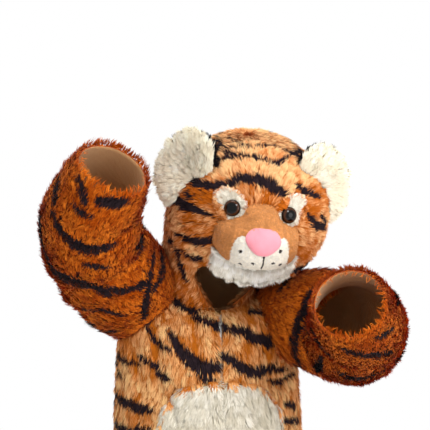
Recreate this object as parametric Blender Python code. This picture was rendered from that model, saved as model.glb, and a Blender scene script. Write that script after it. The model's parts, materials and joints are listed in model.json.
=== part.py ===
"""A child's tiger costume: a hooded plush jumpsuit with sleeves, legs, belly patch and front zip.

It is held in its worn form, with no wearer. The origin is at the base of the neck, the front
looks along -Y, and the wearer's left side is at +X. All lengths are in metres.
"""
import math

import bpy
import bmesh
import numpy as np
from mathutils import Matrix, Vector

# Cloth, as thick as its backing and its pile pressed together. Two seam edges stand a seam gap
# apart. What lies on a panel is sunk by the undercut, then trimmed to the panel.
PLUSH = 0.007
LONG_PLUSH = 0.006
SEAM_GAP = 0.0003
HALF_GAP = SEAM_GAP / 2
UNDERCUT = 0.002
GUIDE_REACH = 0.3

# Jumpsuit, from the neckline down to the ankle hem. The lean lifts the back of a ring and
# drops its front; the leg centre and the inner edge part one ring into two legs.
BODY_COLUMNS = ("z", "half_width", "half_depth", "centre_y", "lean", "leg_centre", "inner_edge")
BODY_ROWS = (
    (-0.018, 0.070, 0.072, -0.012, 0.036, 0.000, 0.000),
    (-0.040, 0.098, 0.088, -0.006, 0.026, 0.000, 0.000),
    (-0.068, 0.124, 0.099, -0.002, 0.014, 0.000, 0.000),
    (-0.108, 0.140, 0.107, 0.000, 0.005, 0.000, 0.000),
    (-0.170, 0.146, 0.112, -0.001, 0.000, 0.000, 0.000),
    (-0.260, 0.150, 0.121, -0.005, 0.000, 0.000, 0.000),
    (-0.350, 0.154, 0.120, -0.002, 0.000, 0.000, 0.000),
    (-0.415, 0.156, 0.112, 0.001, 0.000, 0.012, 0.000),
    (-0.455, 0.157, 0.100, 0.003, 0.000, 0.060, 0.000),
    (-0.500, 0.156, 0.090, 0.004, 0.000, 0.080, 0.004),
    (-0.600, 0.150, 0.078, 0.003, 0.000, 0.081, 0.012),
    (-0.700, 0.144, 0.070, 0.000, 0.000, 0.081, 0.018),
    (-0.790, 0.139, 0.066, 0.003, 0.000, 0.081, 0.023),
    (-0.840, 0.136, 0.063, 0.005, 0.000, 0.080, 0.024),
)
SHOULDER_LIFT = {-1: 0.048, 1: 0.006}
LIFT_FROM = 0.070
LIFT_TO = 0.130
LIFT_FADES_FROM = -0.080
LIFT_FADES_TO = -0.190
BODY_ACROSS = 8
BODY_DOWN = 35
HOLLOW_ROWS = 22

# Large folds of the jumpsuit: soft troughs from one point to another, seen from the front.
# The face is -1 on the front and 1 on the back. They fade out towards the middle seams.
FOLD_COLUMNS = ("face", "x_from", "z_from", "x_to", "z_to", "width", "depth")
FOLD_CLEAR_OF_SEAM = 0.030
FOLD_END_SHARE = 0.08
BODY_FOLDS = (
    (-1, -0.130, -0.140, -0.060, -0.205, 0.020, 0.0090),
    (-1, -0.115, -0.215, -0.030, -0.245, 0.019, 0.0053),
    (-1, 0.128, -0.135, 0.055, -0.190, 0.020, 0.0083),
    (-1, 0.120, -0.230, 0.065, -0.262, 0.017, 0.0053),
    (-1, -0.062, -0.205, -0.040, -0.275, 0.015, 0.0045),
    (-1, -0.135, -0.372, -0.050, -0.432, 0.022, 0.0105),
    (-1, 0.132, -0.365, 0.045, -0.438, 0.020, 0.0097),
    (-1, -0.140, -0.600, -0.040, -0.625, 0.020, 0.0083),
    (-1, -0.030, -0.655, -0.110, -0.680, 0.017, 0.0067),
    (-1, 0.140, -0.615, 0.050, -0.632, 0.019, 0.0090),
    (-1, 0.035, -0.668, 0.120, -0.702, 0.019, 0.0067),
    (-1, -0.125, -0.765, -0.045, -0.778, 0.017, 0.0075),
    (-1, 0.130, -0.752, 0.040, -0.770, 0.017, 0.0083),
    (1, -0.125, -0.120, -0.030, -0.205, 0.022, 0.0090),
    (1, 0.130, -0.125, 0.040, -0.190, 0.020, 0.0090),
    (1, -0.105, -0.255, 0.000, -0.285, 0.020, 0.0067),
    (1, 0.120, -0.285, 0.020, -0.312, 0.020, 0.0067),
    (1, -0.120, -0.440, -0.035, -0.480, 0.022, 0.0097),
    (1, 0.125, -0.445, 0.040, -0.492, 0.020, 0.0090),
    (1, -0.130, -0.640, -0.045, -0.652, 0.020, 0.0083),
    (1, 0.132, -0.628, 0.045, -0.650, 0.020, 0.0075),
    (1, -0.120, -0.760, -0.050, -0.775, 0.017, 0.0067),
    (1, 0.125, -0.770, 0.045, -0.782, 0.017, 0.0075),
)

# Sleeves, from inside the armhole to the cuff
SLEEVE_COLUMNS = ("x", "y", "z", "radius")
SLEEVE_ROWS = {
    "right": (
        (-0.075, 0.006, -0.084, 0.046),
        (-0.101, 0.000, -0.056, 0.067),
        (-0.130, -0.016, -0.024, 0.080),
        (-0.168, -0.052, 0.010, 0.082),
        (-0.198, -0.100, 0.050, 0.078),
        (-0.198, -0.156, 0.102, 0.070),
        (-0.180, -0.205, 0.152, 0.056),
    ),
    "left": (
        (0.076, 0.004, -0.098, 0.042),
        (0.104, -0.006, -0.084, 0.062),
        (0.135, -0.034, -0.072, 0.075),
        (0.168, -0.088, -0.078, 0.080),
        (0.191, -0.150, -0.090, 0.079),
        (0.175, -0.222, -0.070, 0.071),
        (0.143, -0.290, -0.034, 0.056),
    ),
}
SLEEVE_AROUND = 24
SLEEVE_ALONG = 14
ARMHOLE_ROWS = 9

# Folds of the sleeves: where along the sleeve and around it, in turns from its top, how far
# round each one runs, how much it slants, its width along the sleeve and its depth
SLEEVE_FOLD_COLUMNS = ("along", "around", "span", "slant", "width", "depth")
SLEEVE_FOLDS = {
    "right": (
        (0.56, 0.34, 0.20, 0.10, 0.051, 0.0115),
        (0.67, 0.30, 0.16, -0.08, 0.045, 0.0081),
        (0.44, 0.40, 0.14, 0.16, 0.045, 0.0068),
        (0.62, 0.80, 0.15, 0.05, 0.045, 0.0068),
        (0.82, 0.62, 0.18, 0.06, 0.042, 0.0061),
        (0.36, 0.06, 0.15, -0.10, 0.048, 0.0061),
    ),
    "left": (
        (0.58, 0.72, 0.18, -0.10, 0.051, 0.0115),
        (0.69, 0.76, 0.15, 0.08, 0.045, 0.0074),
        (0.45, 0.66, 0.14, -0.14, 0.045, 0.0068),
        (0.60, 0.22, 0.16, 0.05, 0.045, 0.0068),
        (0.82, 0.42, 0.18, -0.06, 0.042, 0.0061),
        (0.35, 0.96, 0.14, 0.10, 0.048, 0.0061),
    ),
}

# Hood: its own frame leans forward, turns a little and tips to the wearer's left
HOOD_CENTRE = Vector((0.051, -0.062, 0.095))
HOOD_TURN = math.radians(-7.0)
HOOD_LEAN = math.radians(20.0)
HOOD_TIP = math.radians(7.4)
HOOD_COLUMNS = ("level", "centre_x", "centre_y", "half_width", "half_depth", "own_form")
HOOD_ROWS = (
    (-0.1300, -0.032, 0.000, 0.070, 0.076, 0.00),
    (-0.1060, -0.024, 0.010, 0.088, 0.094, 0.45),
    (-0.0700, -0.010, 0.006, 0.110, 0.114, 1.00),
    (-0.0300, -0.002, 0.001, 0.121, 0.126, 1.00),
    (0.0100, 0.000, 0.000, 0.123, 0.130, 1.00),
    (0.0500, 0.000, 0.000, 0.115, 0.122, 1.00),
    (0.0840, 0.000, 0.001, 0.093, 0.100, 1.00),
    (0.1060, 0.000, 0.002, 0.063, 0.069, 1.00),
    (0.1160, 0.000, 0.003, 0.034, 0.038, 1.00),
    (0.1190, 0.000, 0.003, 0.000, 0.000, 1.00),
)
COLLAR_SPREAD = 6.0
CROWN_PLACE = 0.995
HOOD_AROUND = 36
HOOD_UP = 14
GUSSET_HALF_WIDTH = 0.042
GUSSET_FRONT_LEVEL = -0.075

# Face opening of the hood, seen along the hood's own front, in levels from the muzzle down
OPENING_COLUMNS = ("level", "left_edge", "right_edge")
OPENING_ROWS = (
    (-0.046, -0.030, 0.018),
    (-0.054, -0.058, 0.046),
    (-0.072, -0.074, 0.060),
    (-0.090, -0.075, 0.056),
    (-0.110, -0.064, 0.030),
    (-0.130, -0.049, -0.004),
    (-0.150, -0.037, -0.025),
)
OPENING_STEPS = 15
CHIN_SEAM = -0.0310

# Ears, in the hood's frame: padded rounds whose lower edge is sewn on the hood
EAR_HALF_WIDTH = 0.064
EAR_HALF_HEIGHT = 0.045
EAR_FRONT_DEPTH = 0.013
EAR_FRONT_FULLNESS = 2.6
EAR_BACK_DEPTH = 0.010
EAR_BACK_FULLNESS = 2.2
EAR_EDGE = 0.0015
EAR_HOLLOW = 0.006
EAR_HOLLOW_SPREAD = 0.55
EAR_RINGS = 4
EAR_AROUND = 24
EAR_PLACES = {"left": (0.0960, -0.034, 0.067), "right": (-0.1080, -0.034, 0.065)}
EAR_TILT = math.radians(62)
EAR_TURN = {"left": math.radians(27), "right": math.radians(43)}

# Muzzle, in the hood's frame: a stuffed dome on the front, brown above and white below
MUZZLE_LEVEL = 0.006
MUZZLE_BACK = -0.104
MUZZLE_REACH = 0.078
MUZZLE_HALF_WIDTH = 0.062
MUZZLE_HALF_HEIGHT = 0.048
MUZZLE_FULLNESS = 2.5
MUZZLE_EDGE = 0.001
MUZZLE_WAIST = 0.38
MUZZLE_WAIST_AT = 0.66
MUZZLE_WAIST_SPREAD = 0.24
MUZZLE_JOWL = 0.24
MUZZLE_JOWL_OVER = 0.90
MUZZLE_RINGS = 8
MUZZLE_AROUND = 32

# The seam between the upper and the lower muzzle: x and level of each corner
MUZZLE_SPLIT = (
    (-0.0380, -0.0700),
    (-0.0380, -0.0260),
    (-0.0408, -0.0080),
    (-0.0390, 0.0090),
    (-0.0350, 0.0170),
    (-0.0290, 0.0205),
    (0.0290, 0.0230),
    (0.0345, 0.0200),
    (0.0375, 0.0130),
    (0.0405, 0.0000),
    (0.0430, -0.0200),
    (0.0430, -0.0700),
)
SPLIT_BACK = 0.050
SPLIT_FOOT = -0.120
NOSE_LEVEL = 0.017
NOSE_HALF_WIDTH = 0.0265
NOSE_HALF_HEIGHT = 0.0205
NOSE_PROUD = 0.0065
NOSE_FULLNESS = 2.4
NOSE_EDGE = 0.0016
NOSE_NARROWS = 0.32
NOSE_WIDEST = 0.25
NOSE_FLATTENS = 0.10
NOSE_RINGS = 4
NOSE_AROUND = 24

# Eyes and eye patches, in the hood's frame, seen from its front
EYE_PLACES = {"right": (-0.0420, 0.042), "left": (0.0385, 0.042)}
EYE_RADIUS = 0.0122
EYE_DOME = 0.0065
EYE_RIM = 0.0012
EYE_RINGS = 4
EYE_AROUND = 16
EYE_PATCH_PLACES = {"right": (-0.0450, 0.0445), "left": (0.0440, 0.0470)}
EYE_PATCH_HALF_WIDTH = 0.0240
EYE_PATCH_HALF_HEIGHT = 0.0200
EYE_PATCH_TILT = {"right": -0.50, "left": 0.50}
EYE_PATCH_THICK = 0.003
EYE_PATCH_RINGS = 3
EYE_PATCH_AROUND = 24

# Chin ruff: a band of long plush along the top edge of the face opening
RUFF_HALF_WIDTH = 0.055
RUFF_TOP_LEVEL = -0.045
RUFF_DEPTH = 0.022
RUFF_ARCH = 0.020
RUFF_THICK = 0.006
RUFF_CELLS = (10, 3)

# Belly patch, halved by the zip
PATCH_TOP = -0.168
PATCH_BOTTOM = -0.405
PATCH_HALF_WIDTH = 0.098
PATCH_SQUARENESS = 2.6
PATCH_END_WIDTH = 0.020
PATCH_CELLS = (6, 11)

# Zip
ZIP_TOP = -0.0575
ZIP_BOTTOM = -0.390
ZIP_STATIONS = 18
CHANNEL_END = -0.410
CHANNEL_CLOSES_OVER = 0.014
CHANNEL_HALF_WIDTH = 0.0055
TAPE_HALF_WIDTH = 0.0115
TAPE_THICK = 0.0010
TAPE_GAP = 0.0012
TEETH_HALF_WIDTH = 0.0026
TEETH_PROUD = 0.0022
SLIDER_LEVEL = -0.0665
SLIDER_HALF_WIDTH = 0.0042
SLIDER_HALF_LENGTH = 0.0055
SLIDER_THICK = 0.0016
SLIDER_CORNER = 0.0018
BRIDGE_RADIUS = 0.0026
BRIDGE_WIRE = 0.00055
BRIDGE_POINTS = 15
BRIDGE_PAST_HALF_TURN = 0.12
TAB_BAR_RADIUS = 0.0005
TAB_HALF_WIDTH = 0.0025
TAB_WINDOW_HALF_WIDTH = 0.0013
TAB_WINDOW_LENGTH = 0.0036
TAB_CROSSBAR = 0.0012
TAB_SLOT_LENGTH = 0.0042
TAB_LENGTH = 0.0125
TAB_THICK = 0.0010
TAB_CORNER = 0.0021
BAR_HEIGHT = 0.0013

COLOURS = {
    "orange plush": ((0.72, 0.36, 0.12), 0.95, 0.0),
    "deep orange plush": ((0.42, 0.16, 0.035), 0.95, 0.0),
    "cream plush": ((0.76, 0.72, 0.60), 0.95, 0.0),
    "white plush": ((0.84, 0.82, 0.74), 0.95, 0.0),
    "black plush": ((0.025, 0.020, 0.028), 0.95, 0.0),
    "brown velour": ((0.56, 0.25, 0.085), 0.85, 0.0),
    "white velour": ((0.86, 0.84, 0.78), 0.85, 0.0),
    "pink velour": ((0.86, 0.27, 0.38), 0.80, 0.0),
    "black plastic": ((0.020, 0.012, 0.010), 0.15, 0.0),
    "brown tape": ((0.36, 0.17, 0.07), 0.80, 0.0),
    "grey metal": ((0.45, 0.45, 0.46), 0.30, 1.0),
}


def clear_scene():
    """Take away whatever the file holds."""
    for item in list(bpy.data.objects):
        bpy.data.objects.remove(item, do_unlink=True)


def material(name):
    """The named material, made once."""
    found = bpy.data.materials.get(name)
    if found:
        return found
    colour, roughness, metallic = COLOURS[name]
    made = bpy.data.materials.new(name)
    made.use_nodes = True
    shader = made.node_tree.nodes["Principled BSDF"]
    shader.inputs["Base Color"].default_value = (*colour, 1.0)
    shader.inputs["Roughness"].default_value = roughness
    shader.inputs["Metallic"].default_value = metallic
    made.diffuse_color = (*colour, 1.0)
    return made


def smoothstep(value):
    """0 below 0, 1 above 1, and a soft rise between."""
    value = np.clip(value, 0.0, 1.0)
    return value * value * (3.0 - 2.0 * value)


def spline_rows(rows, places):
    """Rows of a table read between its rows, by a Catmull-Rom spline; a place is 0 to 1."""
    table = np.array(rows, dtype=float)
    last = len(table) - 1
    steps = np.clip(np.asarray(places, dtype=float), 0.0, 1.0) * last
    low = np.minimum(steps.astype(int), last - 1)
    part = (steps - low)[..., None]
    before = table[np.maximum(low - 1, 0)]
    start = table[low]
    end = table[low + 1]
    after = table[np.minimum(low + 2, last)]
    return 0.5 * (
        2.0 * start
        + (end - before) * part
        + (2.0 * before - 5.0 * start + 4.0 * end - after) * part ** 2
        + (3.0 * start - before - 3.0 * end + after) * part ** 3
    )


def read_table(columns, rows, places):
    """A table's named columns, read at places along it."""
    return dict(zip(columns, np.moveaxis(spline_rows(rows, places), -1, 0)))


def place_of(rows, value, down=True):
    """The place, 0 to 1, at which a table's first column has the value."""
    places = np.linspace(0.0, 1.0, 2001)
    first = spline_rows(rows, places)[:, 0]
    if down:
        return np.interp(-np.asarray(value, dtype=float), -first, places)
    return np.interp(np.asarray(value, dtype=float), first, places)


def normals_of(surface, across, along):
    """Outward unit normals of a surface, by small steps in both directions."""
    step = 1e-3
    a_low = np.maximum(across - step, 0.0)
    a_high = np.minimum(across + step, 1.0)
    b_low = np.maximum(along - step, 0.0)
    b_high = np.minimum(along + step, 1.0)
    over = surface(a_high, along) - surface(a_low, along)
    down = surface(across, b_high) - surface(across, b_low)
    normal = np.cross(over, down)
    length = np.linalg.norm(normal, axis=-1, keepdims=True)
    return normal / np.maximum(length, 1e-12)


def fold_depth(points, face):
    """How far the jumpsuit's folds pull the cloth in at each point of one face."""
    depth = np.zeros(points.shape[:-1])
    flat = points[..., [0, 2]]
    for row in BODY_FOLDS:
        fold = dict(zip(FOLD_COLUMNS, row))
        if fold["face"] != face:
            continue
        start = np.array((fold["x_from"], fold["z_from"]))
        run = np.array((fold["x_to"], fold["z_to"])) - start
        part = np.clip(((flat - start) @ run) / (run @ run), 0.0, 1.0)
        away = np.linalg.norm(flat - (start + part[..., None] * run), axis=-1)
        taper = np.sin(np.pi * (FOLD_END_SHARE + (1.0 - 2.0 * FOLD_END_SHARE) * part))
        depth = np.maximum(depth, fold["depth"] * taper * np.exp(-(away / fold["width"]) ** 2))
    return depth * smoothstep(np.abs(points[..., 0]) / FOLD_CLEAR_OF_SEAM)


def body_ring(side, face, across, along):
    """Points of the jumpsuit before its folds; across runs from the centre to the side seam."""
    row = read_table(BODY_COLUMNS, BODY_ROWS, along)
    leg_centre = np.maximum(row["leg_centre"], 0.0)
    inner_edge = np.maximum(row["inner_edge"], 0.0)
    reach = row["half_width"] - leg_centre
    start = np.arccos(np.clip((inner_edge - leg_centre) / reach, -1.0, 1.0))
    angle = start * (1.0 - across)
    x = leg_centre + reach * np.cos(angle)
    y = row["centre_y"] + face * row["half_depth"] * np.sin(angle)
    z = row["z"] + face * row["lean"] * np.sin(angle)
    fade = smoothstep((z - LIFT_FADES_TO) / (LIFT_FADES_FROM - LIFT_FADES_TO))
    z = z + SHOULDER_LIFT[side] * smoothstep((x - LIFT_FROM) / (LIFT_TO - LIFT_FROM)) * fade
    return np.stack((side * x, y, z), axis=-1)


def body_surface(side, face):
    """The outer surface of one of the jumpsuit's four cuts."""
    def plain(across, along):
        return body_ring(side, face, across, along)

    def surface(across, along):
        base = plain(across, along)
        outward = normals_of(plain, across, along) * (side * face)
        return base - outward * fold_depth(base, face)[..., None]
    return surface


def sleeve_surface(side_name):
    """The outer surface of a sleeve; across runs once round it, from its top."""
    rows = SLEEVE_ROWS[side_name]

    def centre(along):
        row = read_table(SLEEVE_COLUMNS, rows, along)
        return np.stack((row["x"], row["y"], row["z"]), axis=-1)

    def surface(across, along):
        step = 1e-3
        way = centre(np.minimum(along + step, 1.0)) - centre(np.maximum(along - step, 0.0))
        way = way / np.linalg.norm(way, axis=-1, keepdims=True)
        level = np.cross(way, np.array((0.0, 0.0, 1.0)))
        level = level / np.linalg.norm(level, axis=-1, keepdims=True)
        top = np.cross(level, way)
        turn = across * 2.0 * np.pi
        radius = read_table(SLEEVE_COLUMNS, rows, along)["radius"]
        for fold_row in SLEEVE_FOLDS[side_name]:
            fold = dict(zip(SLEEVE_FOLD_COLUMNS, fold_row))
            off = (across - fold["around"] + 0.5) % 1.0 - 0.5
            near = np.exp(-((along - fold["along"] - fold["slant"] * off) / fold["width"]) ** 2)
            radius = radius - fold["depth"] * near * np.exp(-(off / fold["span"]) ** 2)
        out = np.cos(turn)[..., None] * top + np.sin(turn)[..., None] * level
        return centre(along) + radius[..., None] * out
    return surface


def hood_frame():
    """The matrix from the hood's frame to the garment's."""
    turn = Matrix.Rotation(HOOD_TURN, 4, "Z")
    lean = Matrix.Rotation(HOOD_LEAN, 4, "X")
    tip = Matrix.Rotation(HOOD_TIP, 4, "Y")
    return Matrix.Translation(HOOD_CENTRE) @ turn @ lean @ tip


def from_hood(points):
    """Points of the hood's frame, in the garment's frame."""
    frame = np.array(hood_frame())
    return points @ frame[:3, :3].T + frame[:3, 3]


def hood_ring(across, up):
    """Points of the hood's outer surface; across runs once round it, from the nape."""
    row = read_table(HOOD_COLUMNS, HOOD_ROWS, up)
    turn = across * 2.0 * np.pi
    wide = np.maximum(row["half_width"], 0.0)
    deep = np.maximum(row["half_depth"], 0.0)
    x = row["centre_x"] + wide * np.sin(turn)
    y = row["centre_y"] + deep * np.cos(turn)
    own = from_hood(np.stack((x, y, row["level"] + 0.0 * x), axis=-1))
    neck = dict(zip(BODY_COLUMNS, BODY_ROWS[0]))
    neck_x = neck["half_width"] * np.sin(turn)
    neck_y = neck["centre_y"] + neck["half_depth"] * np.cos(turn)
    neck_z = neck["z"] + neck["lean"] * np.cos(turn) + SEAM_GAP
    rise = row["level"] - HOOD_ROWS[0][0]
    collar = np.stack((neck_x * (1.0 + COLLAR_SPREAD * rise), neck_y, neck_z + rise), axis=-1)
    share = np.clip(row["own_form"], 0.0, 1.0)[..., None]
    return collar * (1.0 - share) + own * share


def hood_front(x, level, out):
    """Points over the hood's front at places of its own frame, moved out from its surface."""
    up = place_of(HOOD_ROWS, level, down=False)
    row = read_table(HOOD_COLUMNS, HOOD_ROWS, up)
    across = 0.5 - np.arcsin(np.clip((x - row["centre_x"]) / row["half_width"], -1, 1)) / (2 * np.pi)
    outward = -normals_of(hood_ring, across, up)
    return hood_ring(across, up) + outward * np.asarray(out)[..., None]


def new_object(name, tools, colour):
    """A smooth-shaded object from a bmesh, with its material."""
    data = bpy.data.meshes.new(name)
    for face in tools.faces:
        face.smooth = True
    tools.to_mesh(data)
    tools.free()
    item = bpy.data.objects.new(name, data)
    bpy.context.scene.collection.objects.link(item)
    if colour:
        data.materials.append(material(colour))
    return item


def two_triangles(tools, first, second, third, fourth):
    """A four-cornered face, always split from its first corner to its third."""
    tools.faces.new((first, second, third))
    tools.faces.new((first, third, fourth))


def drawn_in(surface, across, along, first, last):
    """Places across a surface, drawn in from its two edges by real lengths."""
    over = np.linspace(0.0, 1.0, 33)
    run = surface(over[None, :] + 0.0 * along[:, None], along[:, None] + 0.0 * over[None, :])
    width = np.linalg.norm(np.diff(run, axis=1), axis=-1).sum(axis=1)
    return first / width + across * (1.0 - (first + last) / width)


def sheet(name, surface, cells, thick, colour, facing=1, edges=None, closed=False):
    """A wall of cloth: a grid of points on a surface, and the same grid moved in.

    The facing is 1 where the surface's own turn looks outward. The edges, where given, are
    functions of the place along the sheet, for the lengths taken off its two sides."""
    columns, rows = cells
    across, along = np.meshgrid(np.linspace(0.0, 1.0, columns + 1), np.linspace(0.0, 1.0, rows + 1))
    if edges:
        flat = along.ravel()
        across = drawn_in(surface, across.ravel(), flat, edges[0](flat), edges[1](flat))
        across = across.reshape(along.shape)
    outer = surface(across, along)
    outward = facing * normals_of(surface, across, along)
    if closed:
        seam = outward[:, 0] + outward[:, -1]
        seam /= np.maximum(np.linalg.norm(seam, axis=-1, keepdims=True), 1e-12)
        outward[:, 0] = seam
        outward[:, -1] = seam
    ends_in_point = np.ptp(outer[-1], axis=0).max() < 1e-6
    if ends_in_point:
        tip = facing * normals_of(surface, across[-1], along[-1] - 0.01).mean(axis=0)
        outward[-1] = tip / np.linalg.norm(tip)
    inner = outer - thick * outward
    tools = bmesh.new()
    top = [[tools.verts.new(point) for point in row] for row in outer]
    under = [[tools.verts.new(point) for point in row] for row in inner]
    for row in range(rows):
        for column in range(columns):
            corners = ((row, column), (row, column + 1), (row + 1, column + 1), (row + 1, column))
            two_triangles(tools, *[top[r][c] for r, c in corners])
            two_triangles(tools, *[under[r][c] for r, c in corners])
    rims = [[(0, column) for column in range(columns + 1)]]
    if not ends_in_point:
        rims.append([(rows, column) for column in range(columns + 1)])
    if not closed:
        rims.append([(row, 0) for row in range(rows + 1)])
        rims.append([(row, columns) for row in range(rows + 1)])
    for rim in rims:
        for (r, c), (next_r, next_c) in zip(rim, rim[1:]):
            two_triangles(tools, top[r][c], top[next_r][next_c], under[next_r][next_c],
                          under[r][c])
    if closed:
        bmesh.ops.remove_doubles(tools, verts=tools.verts, dist=1e-6)
    bmesh.ops.recalc_face_normals(tools, faces=tools.faces)
    return new_object(name, tools, colour)


def pad(name, place, base, height, colour, rings=5, segments=28):
    """A closed pad on a surface: a flat or curved back, and a front that rises from it.

    The place function gives a point from two shares of the pad's half sizes and a height;
    the height function gives the front's height from the share of the radius."""
    tools = bmesh.new()
    turns = np.linspace(0.0, 2.0 * np.pi, segments, endpoint=False)
    back = []
    front = []
    for share in np.linspace(1.0, 1.0 / rings, rings):
        a = share * np.cos(turns)
        b = share * np.sin(turns)
        rise = base + height(share) + 0.0 * a
        back.append([tools.verts.new(point) for point in place(a, b, base + 0.0 * a)])
        front.append([tools.verts.new(point) for point in place(a, b, rise)])
    zero = np.zeros(1)
    back_middle = tools.verts.new(place(zero, zero, zero + base)[0])
    front_middle = tools.verts.new(place(zero, zero, zero + base + height(0.0))[0])
    for low in range(segments):
        high = (low + 1) % segments
        two_triangles(tools, back[0][low], back[0][high], front[0][high], front[0][low])
        for outer, inner in zip(front, front[1:]):
            two_triangles(tools, outer[low], outer[high], inner[high], inner[low])
        for outer, inner in zip(back, back[1:]):
            two_triangles(tools, outer[low], outer[high], inner[high], inner[low])
        tools.faces.new((front[-1][low], front[-1][high], front_middle))
        tools.faces.new((back[-1][high], back[-1][low], back_middle))
    bmesh.ops.recalc_face_normals(tools, faces=tools.faces)
    return new_object(name, tools, colour)


def prism(name, outline, direction, frame=None):
    """A cutter: a flat outline run along a direction, in the garment's or another frame."""
    tools = bmesh.new()
    start = [tools.verts.new(point) for point in outline]
    face = tools.faces.new(start)
    run = bmesh.ops.extrude_face_region(tools, geom=[face])
    moved = [item for item in run["geom"] if isinstance(item, bmesh.types.BMVert)]
    bmesh.ops.translate(tools, verts=moved, vec=Vector(direction))
    if frame is not None:
        bmesh.ops.transform(tools, matrix=frame, verts=tools.verts)
    bmesh.ops.recalc_face_normals(tools, faces=tools.faces)
    return as_cutter(new_object(name, tools, None))


def as_cutter(item):
    """Mark an object as a guide that isn't a piece of the garment."""
    item.hide_render = True
    item.display_type = "WIRE"
    return item


def cut(item, cutter, operation="DIFFERENCE"):
    """Cut an object with a guide."""
    trim = item.modifiers.new("cut by " + cutter.name, "BOOLEAN")
    trim.operation = operation
    trim.object = cutter
    trim.solver = "EXACT"


def body_hollow():
    """The space inside the jumpsuit's upper part, which trims the sleeves."""
    tools = bmesh.new()
    rows = np.linspace(0.0, 1.0, BODY_DOWN + 1)[:HOLLOW_ROWS]
    over = np.linspace(0.0, 1.0, BODY_ACROSS + 1)
    loops = []
    for row in rows:
        loop = []
        for side, face, turn in ((1, -1, 1), (1, 1, -1), (-1, 1, 1), (-1, -1, -1)):
            across = over[::turn]
            surface = body_surface(side, face)
            along = row + 0.0 * across
            outward = normals_of(surface, across, along) * (side * face)
            loop.extend((surface(across, along) - outward * PLUSH)[:-1])
        loops.append([tools.verts.new(point) for point in loop])
    for above, below in zip(loops, loops[1:]):
        for low in range(len(above)):
            high = (low + 1) % len(above)
            two_triangles(tools, above[low], above[high], below[high], below[low])
    tools.faces.new(loops[0])
    tools.faces.new(loops[-1])
    bmesh.ops.recalc_face_normals(tools, faces=tools.faces)
    return as_cutter(new_object("guide body hollow", tools, None))


def filled_sleeve(name, surface):
    """A guide that fills a sleeve's upper rings, grown by a seam gap."""
    def grown(across, along):
        outward = normals_of(surface, across, along)
        return surface(across, along) + outward * SEAM_GAP
    tools = bmesh.new()
    loops = []
    over = np.linspace(0.0, 1.0, SLEEVE_AROUND, endpoint=False)
    for place in np.linspace(0.0, 1.0, SLEEVE_ALONG + 1)[:ARMHOLE_ROWS]:
        loops.append([tools.verts.new(point) for point in grown(over, place + 0.0 * over)])
    for above, below in zip(loops, loops[1:]):
        for low in range(len(above)):
            high = (low + 1) % len(above)
            two_triangles(tools, above[low], above[high], below[high], below[low])
    tools.faces.new(loops[0])
    tools.faces.new(loops[-1])
    bmesh.ops.recalc_face_normals(tools, faces=tools.faces)
    return as_cutter(new_object(name, tools, None))


def seam_edge(along):
    """Half a seam's gap all along an edge."""
    return HALF_GAP + 0.0 * along


def front_line():
    """The height and the place along the cut of points down the middle of the front."""
    along = np.linspace(0.0, 1.0, 1501)
    points = body_ring(1, -1, 0.0 * along, along)
    return points[:, 2], along


def channel_edge(along):
    """The front's middle edge: back from the zip along its length, then a plain seam."""
    heights, places = front_line()
    height = np.interp(along, places, heights)
    open_share = smoothstep((height - CHANNEL_END) / CHANNEL_CLOSES_OVER)
    return HALF_GAP + (CHANNEL_HALF_WIDTH - HALF_GAP) * open_share


def build_body():
    """Two fronts and two backs, each from the shoulder to the ankle in one cut."""
    for side, side_name in ((1, "left"), (-1, "right")):
        for face, face_name in ((-1, "front"), (1, "back")):
            inner = channel_edge if face < 0 else seam_edge
            item = sheet(face_name + "_" + side_name, body_surface(side, face),
                         (BODY_ACROSS, BODY_DOWN), PLUSH, "orange plush",
                         facing=side * face, edges=(inner, seam_edge))
            cut(item, bpy.data.objects["guide sleeve " + side_name])


def build_sleeves(hood_form):
    """Both sleeves, trimmed where they meet the inside of the jumpsuit."""
    hollow = body_hollow()
    for side_name in SLEEVE_ROWS:
        surface = sleeve_surface(side_name)
        filled_sleeve("guide sleeve " + side_name, surface)
        item = sheet("sleeve_" + side_name, surface, (SLEEVE_AROUND, SLEEVE_ALONG), PLUSH,
                     "deep orange plush", closed=True)
        cut(item, hollow)
        cut(item, hood_form)


def opening_guide():
    """The face opening's cutter, run through the hood's front."""
    row = read_table(OPENING_COLUMNS, OPENING_ROWS, np.linspace(0.0, 1.0, OPENING_STEPS))
    left = [(x, 0.0, level) for x, level in zip(row["left_edge"], row["level"])]
    right = [(x, 0.0, level) for x, level in zip(row["right_edge"], row["level"])]
    return prism("guide face opening", left + right[::-1], (0.0, -GUIDE_REACH, 0.0), hood_frame())


def side_view_outline(x, margin):
    """The gusset's outline from the side: all but the part below and before the face."""
    level = GUSSET_FRONT_LEVEL - margin
    far = GUIDE_REACH
    return [(x, far, -far), (x, far, far), (x, -far, far), (x, -far, level),
            (x, -margin, level), (x, -margin, -far)]


def build_hood():
    """The gusset and the two sides, with the face opening cut from them."""
    opening = opening_guide()
    half = GUSSET_HALF_WIDTH - HALF_GAP
    wide = GUSSET_HALF_WIDTH + HALF_GAP
    keep = prism("guide gusset", side_view_outline(-half, 0.0), (2 * half, 0, 0), hood_frame())
    drop = prism("guide gusset seam", side_view_outline(-wide, SEAM_GAP), (2 * wide, 0, 0),
                 hood_frame())
    parts = (("hood_gusset", None), ("hood_side_left", 1), ("hood_side_right", -1))
    for name, side in parts:
        item = sheet(name, hood_ring, (HOOD_AROUND, HOOD_UP), PLUSH, "deep orange plush",
                     facing=-1, closed=True)
        cut(item, opening)
        if side is None:
            cut(item, keep, "INTERSECT")
            continue
        cut(item, drop)
        seam = CHIN_SEAM + side * HALF_GAP
        far = -side * GUIDE_REACH
        back = GUIDE_REACH
        outline = [(seam, -back, -back), (far, -back, -back), (far, back, -back), (seam, back, -back)]
        cut(item, prism("guide other side of " + name, outline, (0, 0, 2 * back), hood_frame()))


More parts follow.
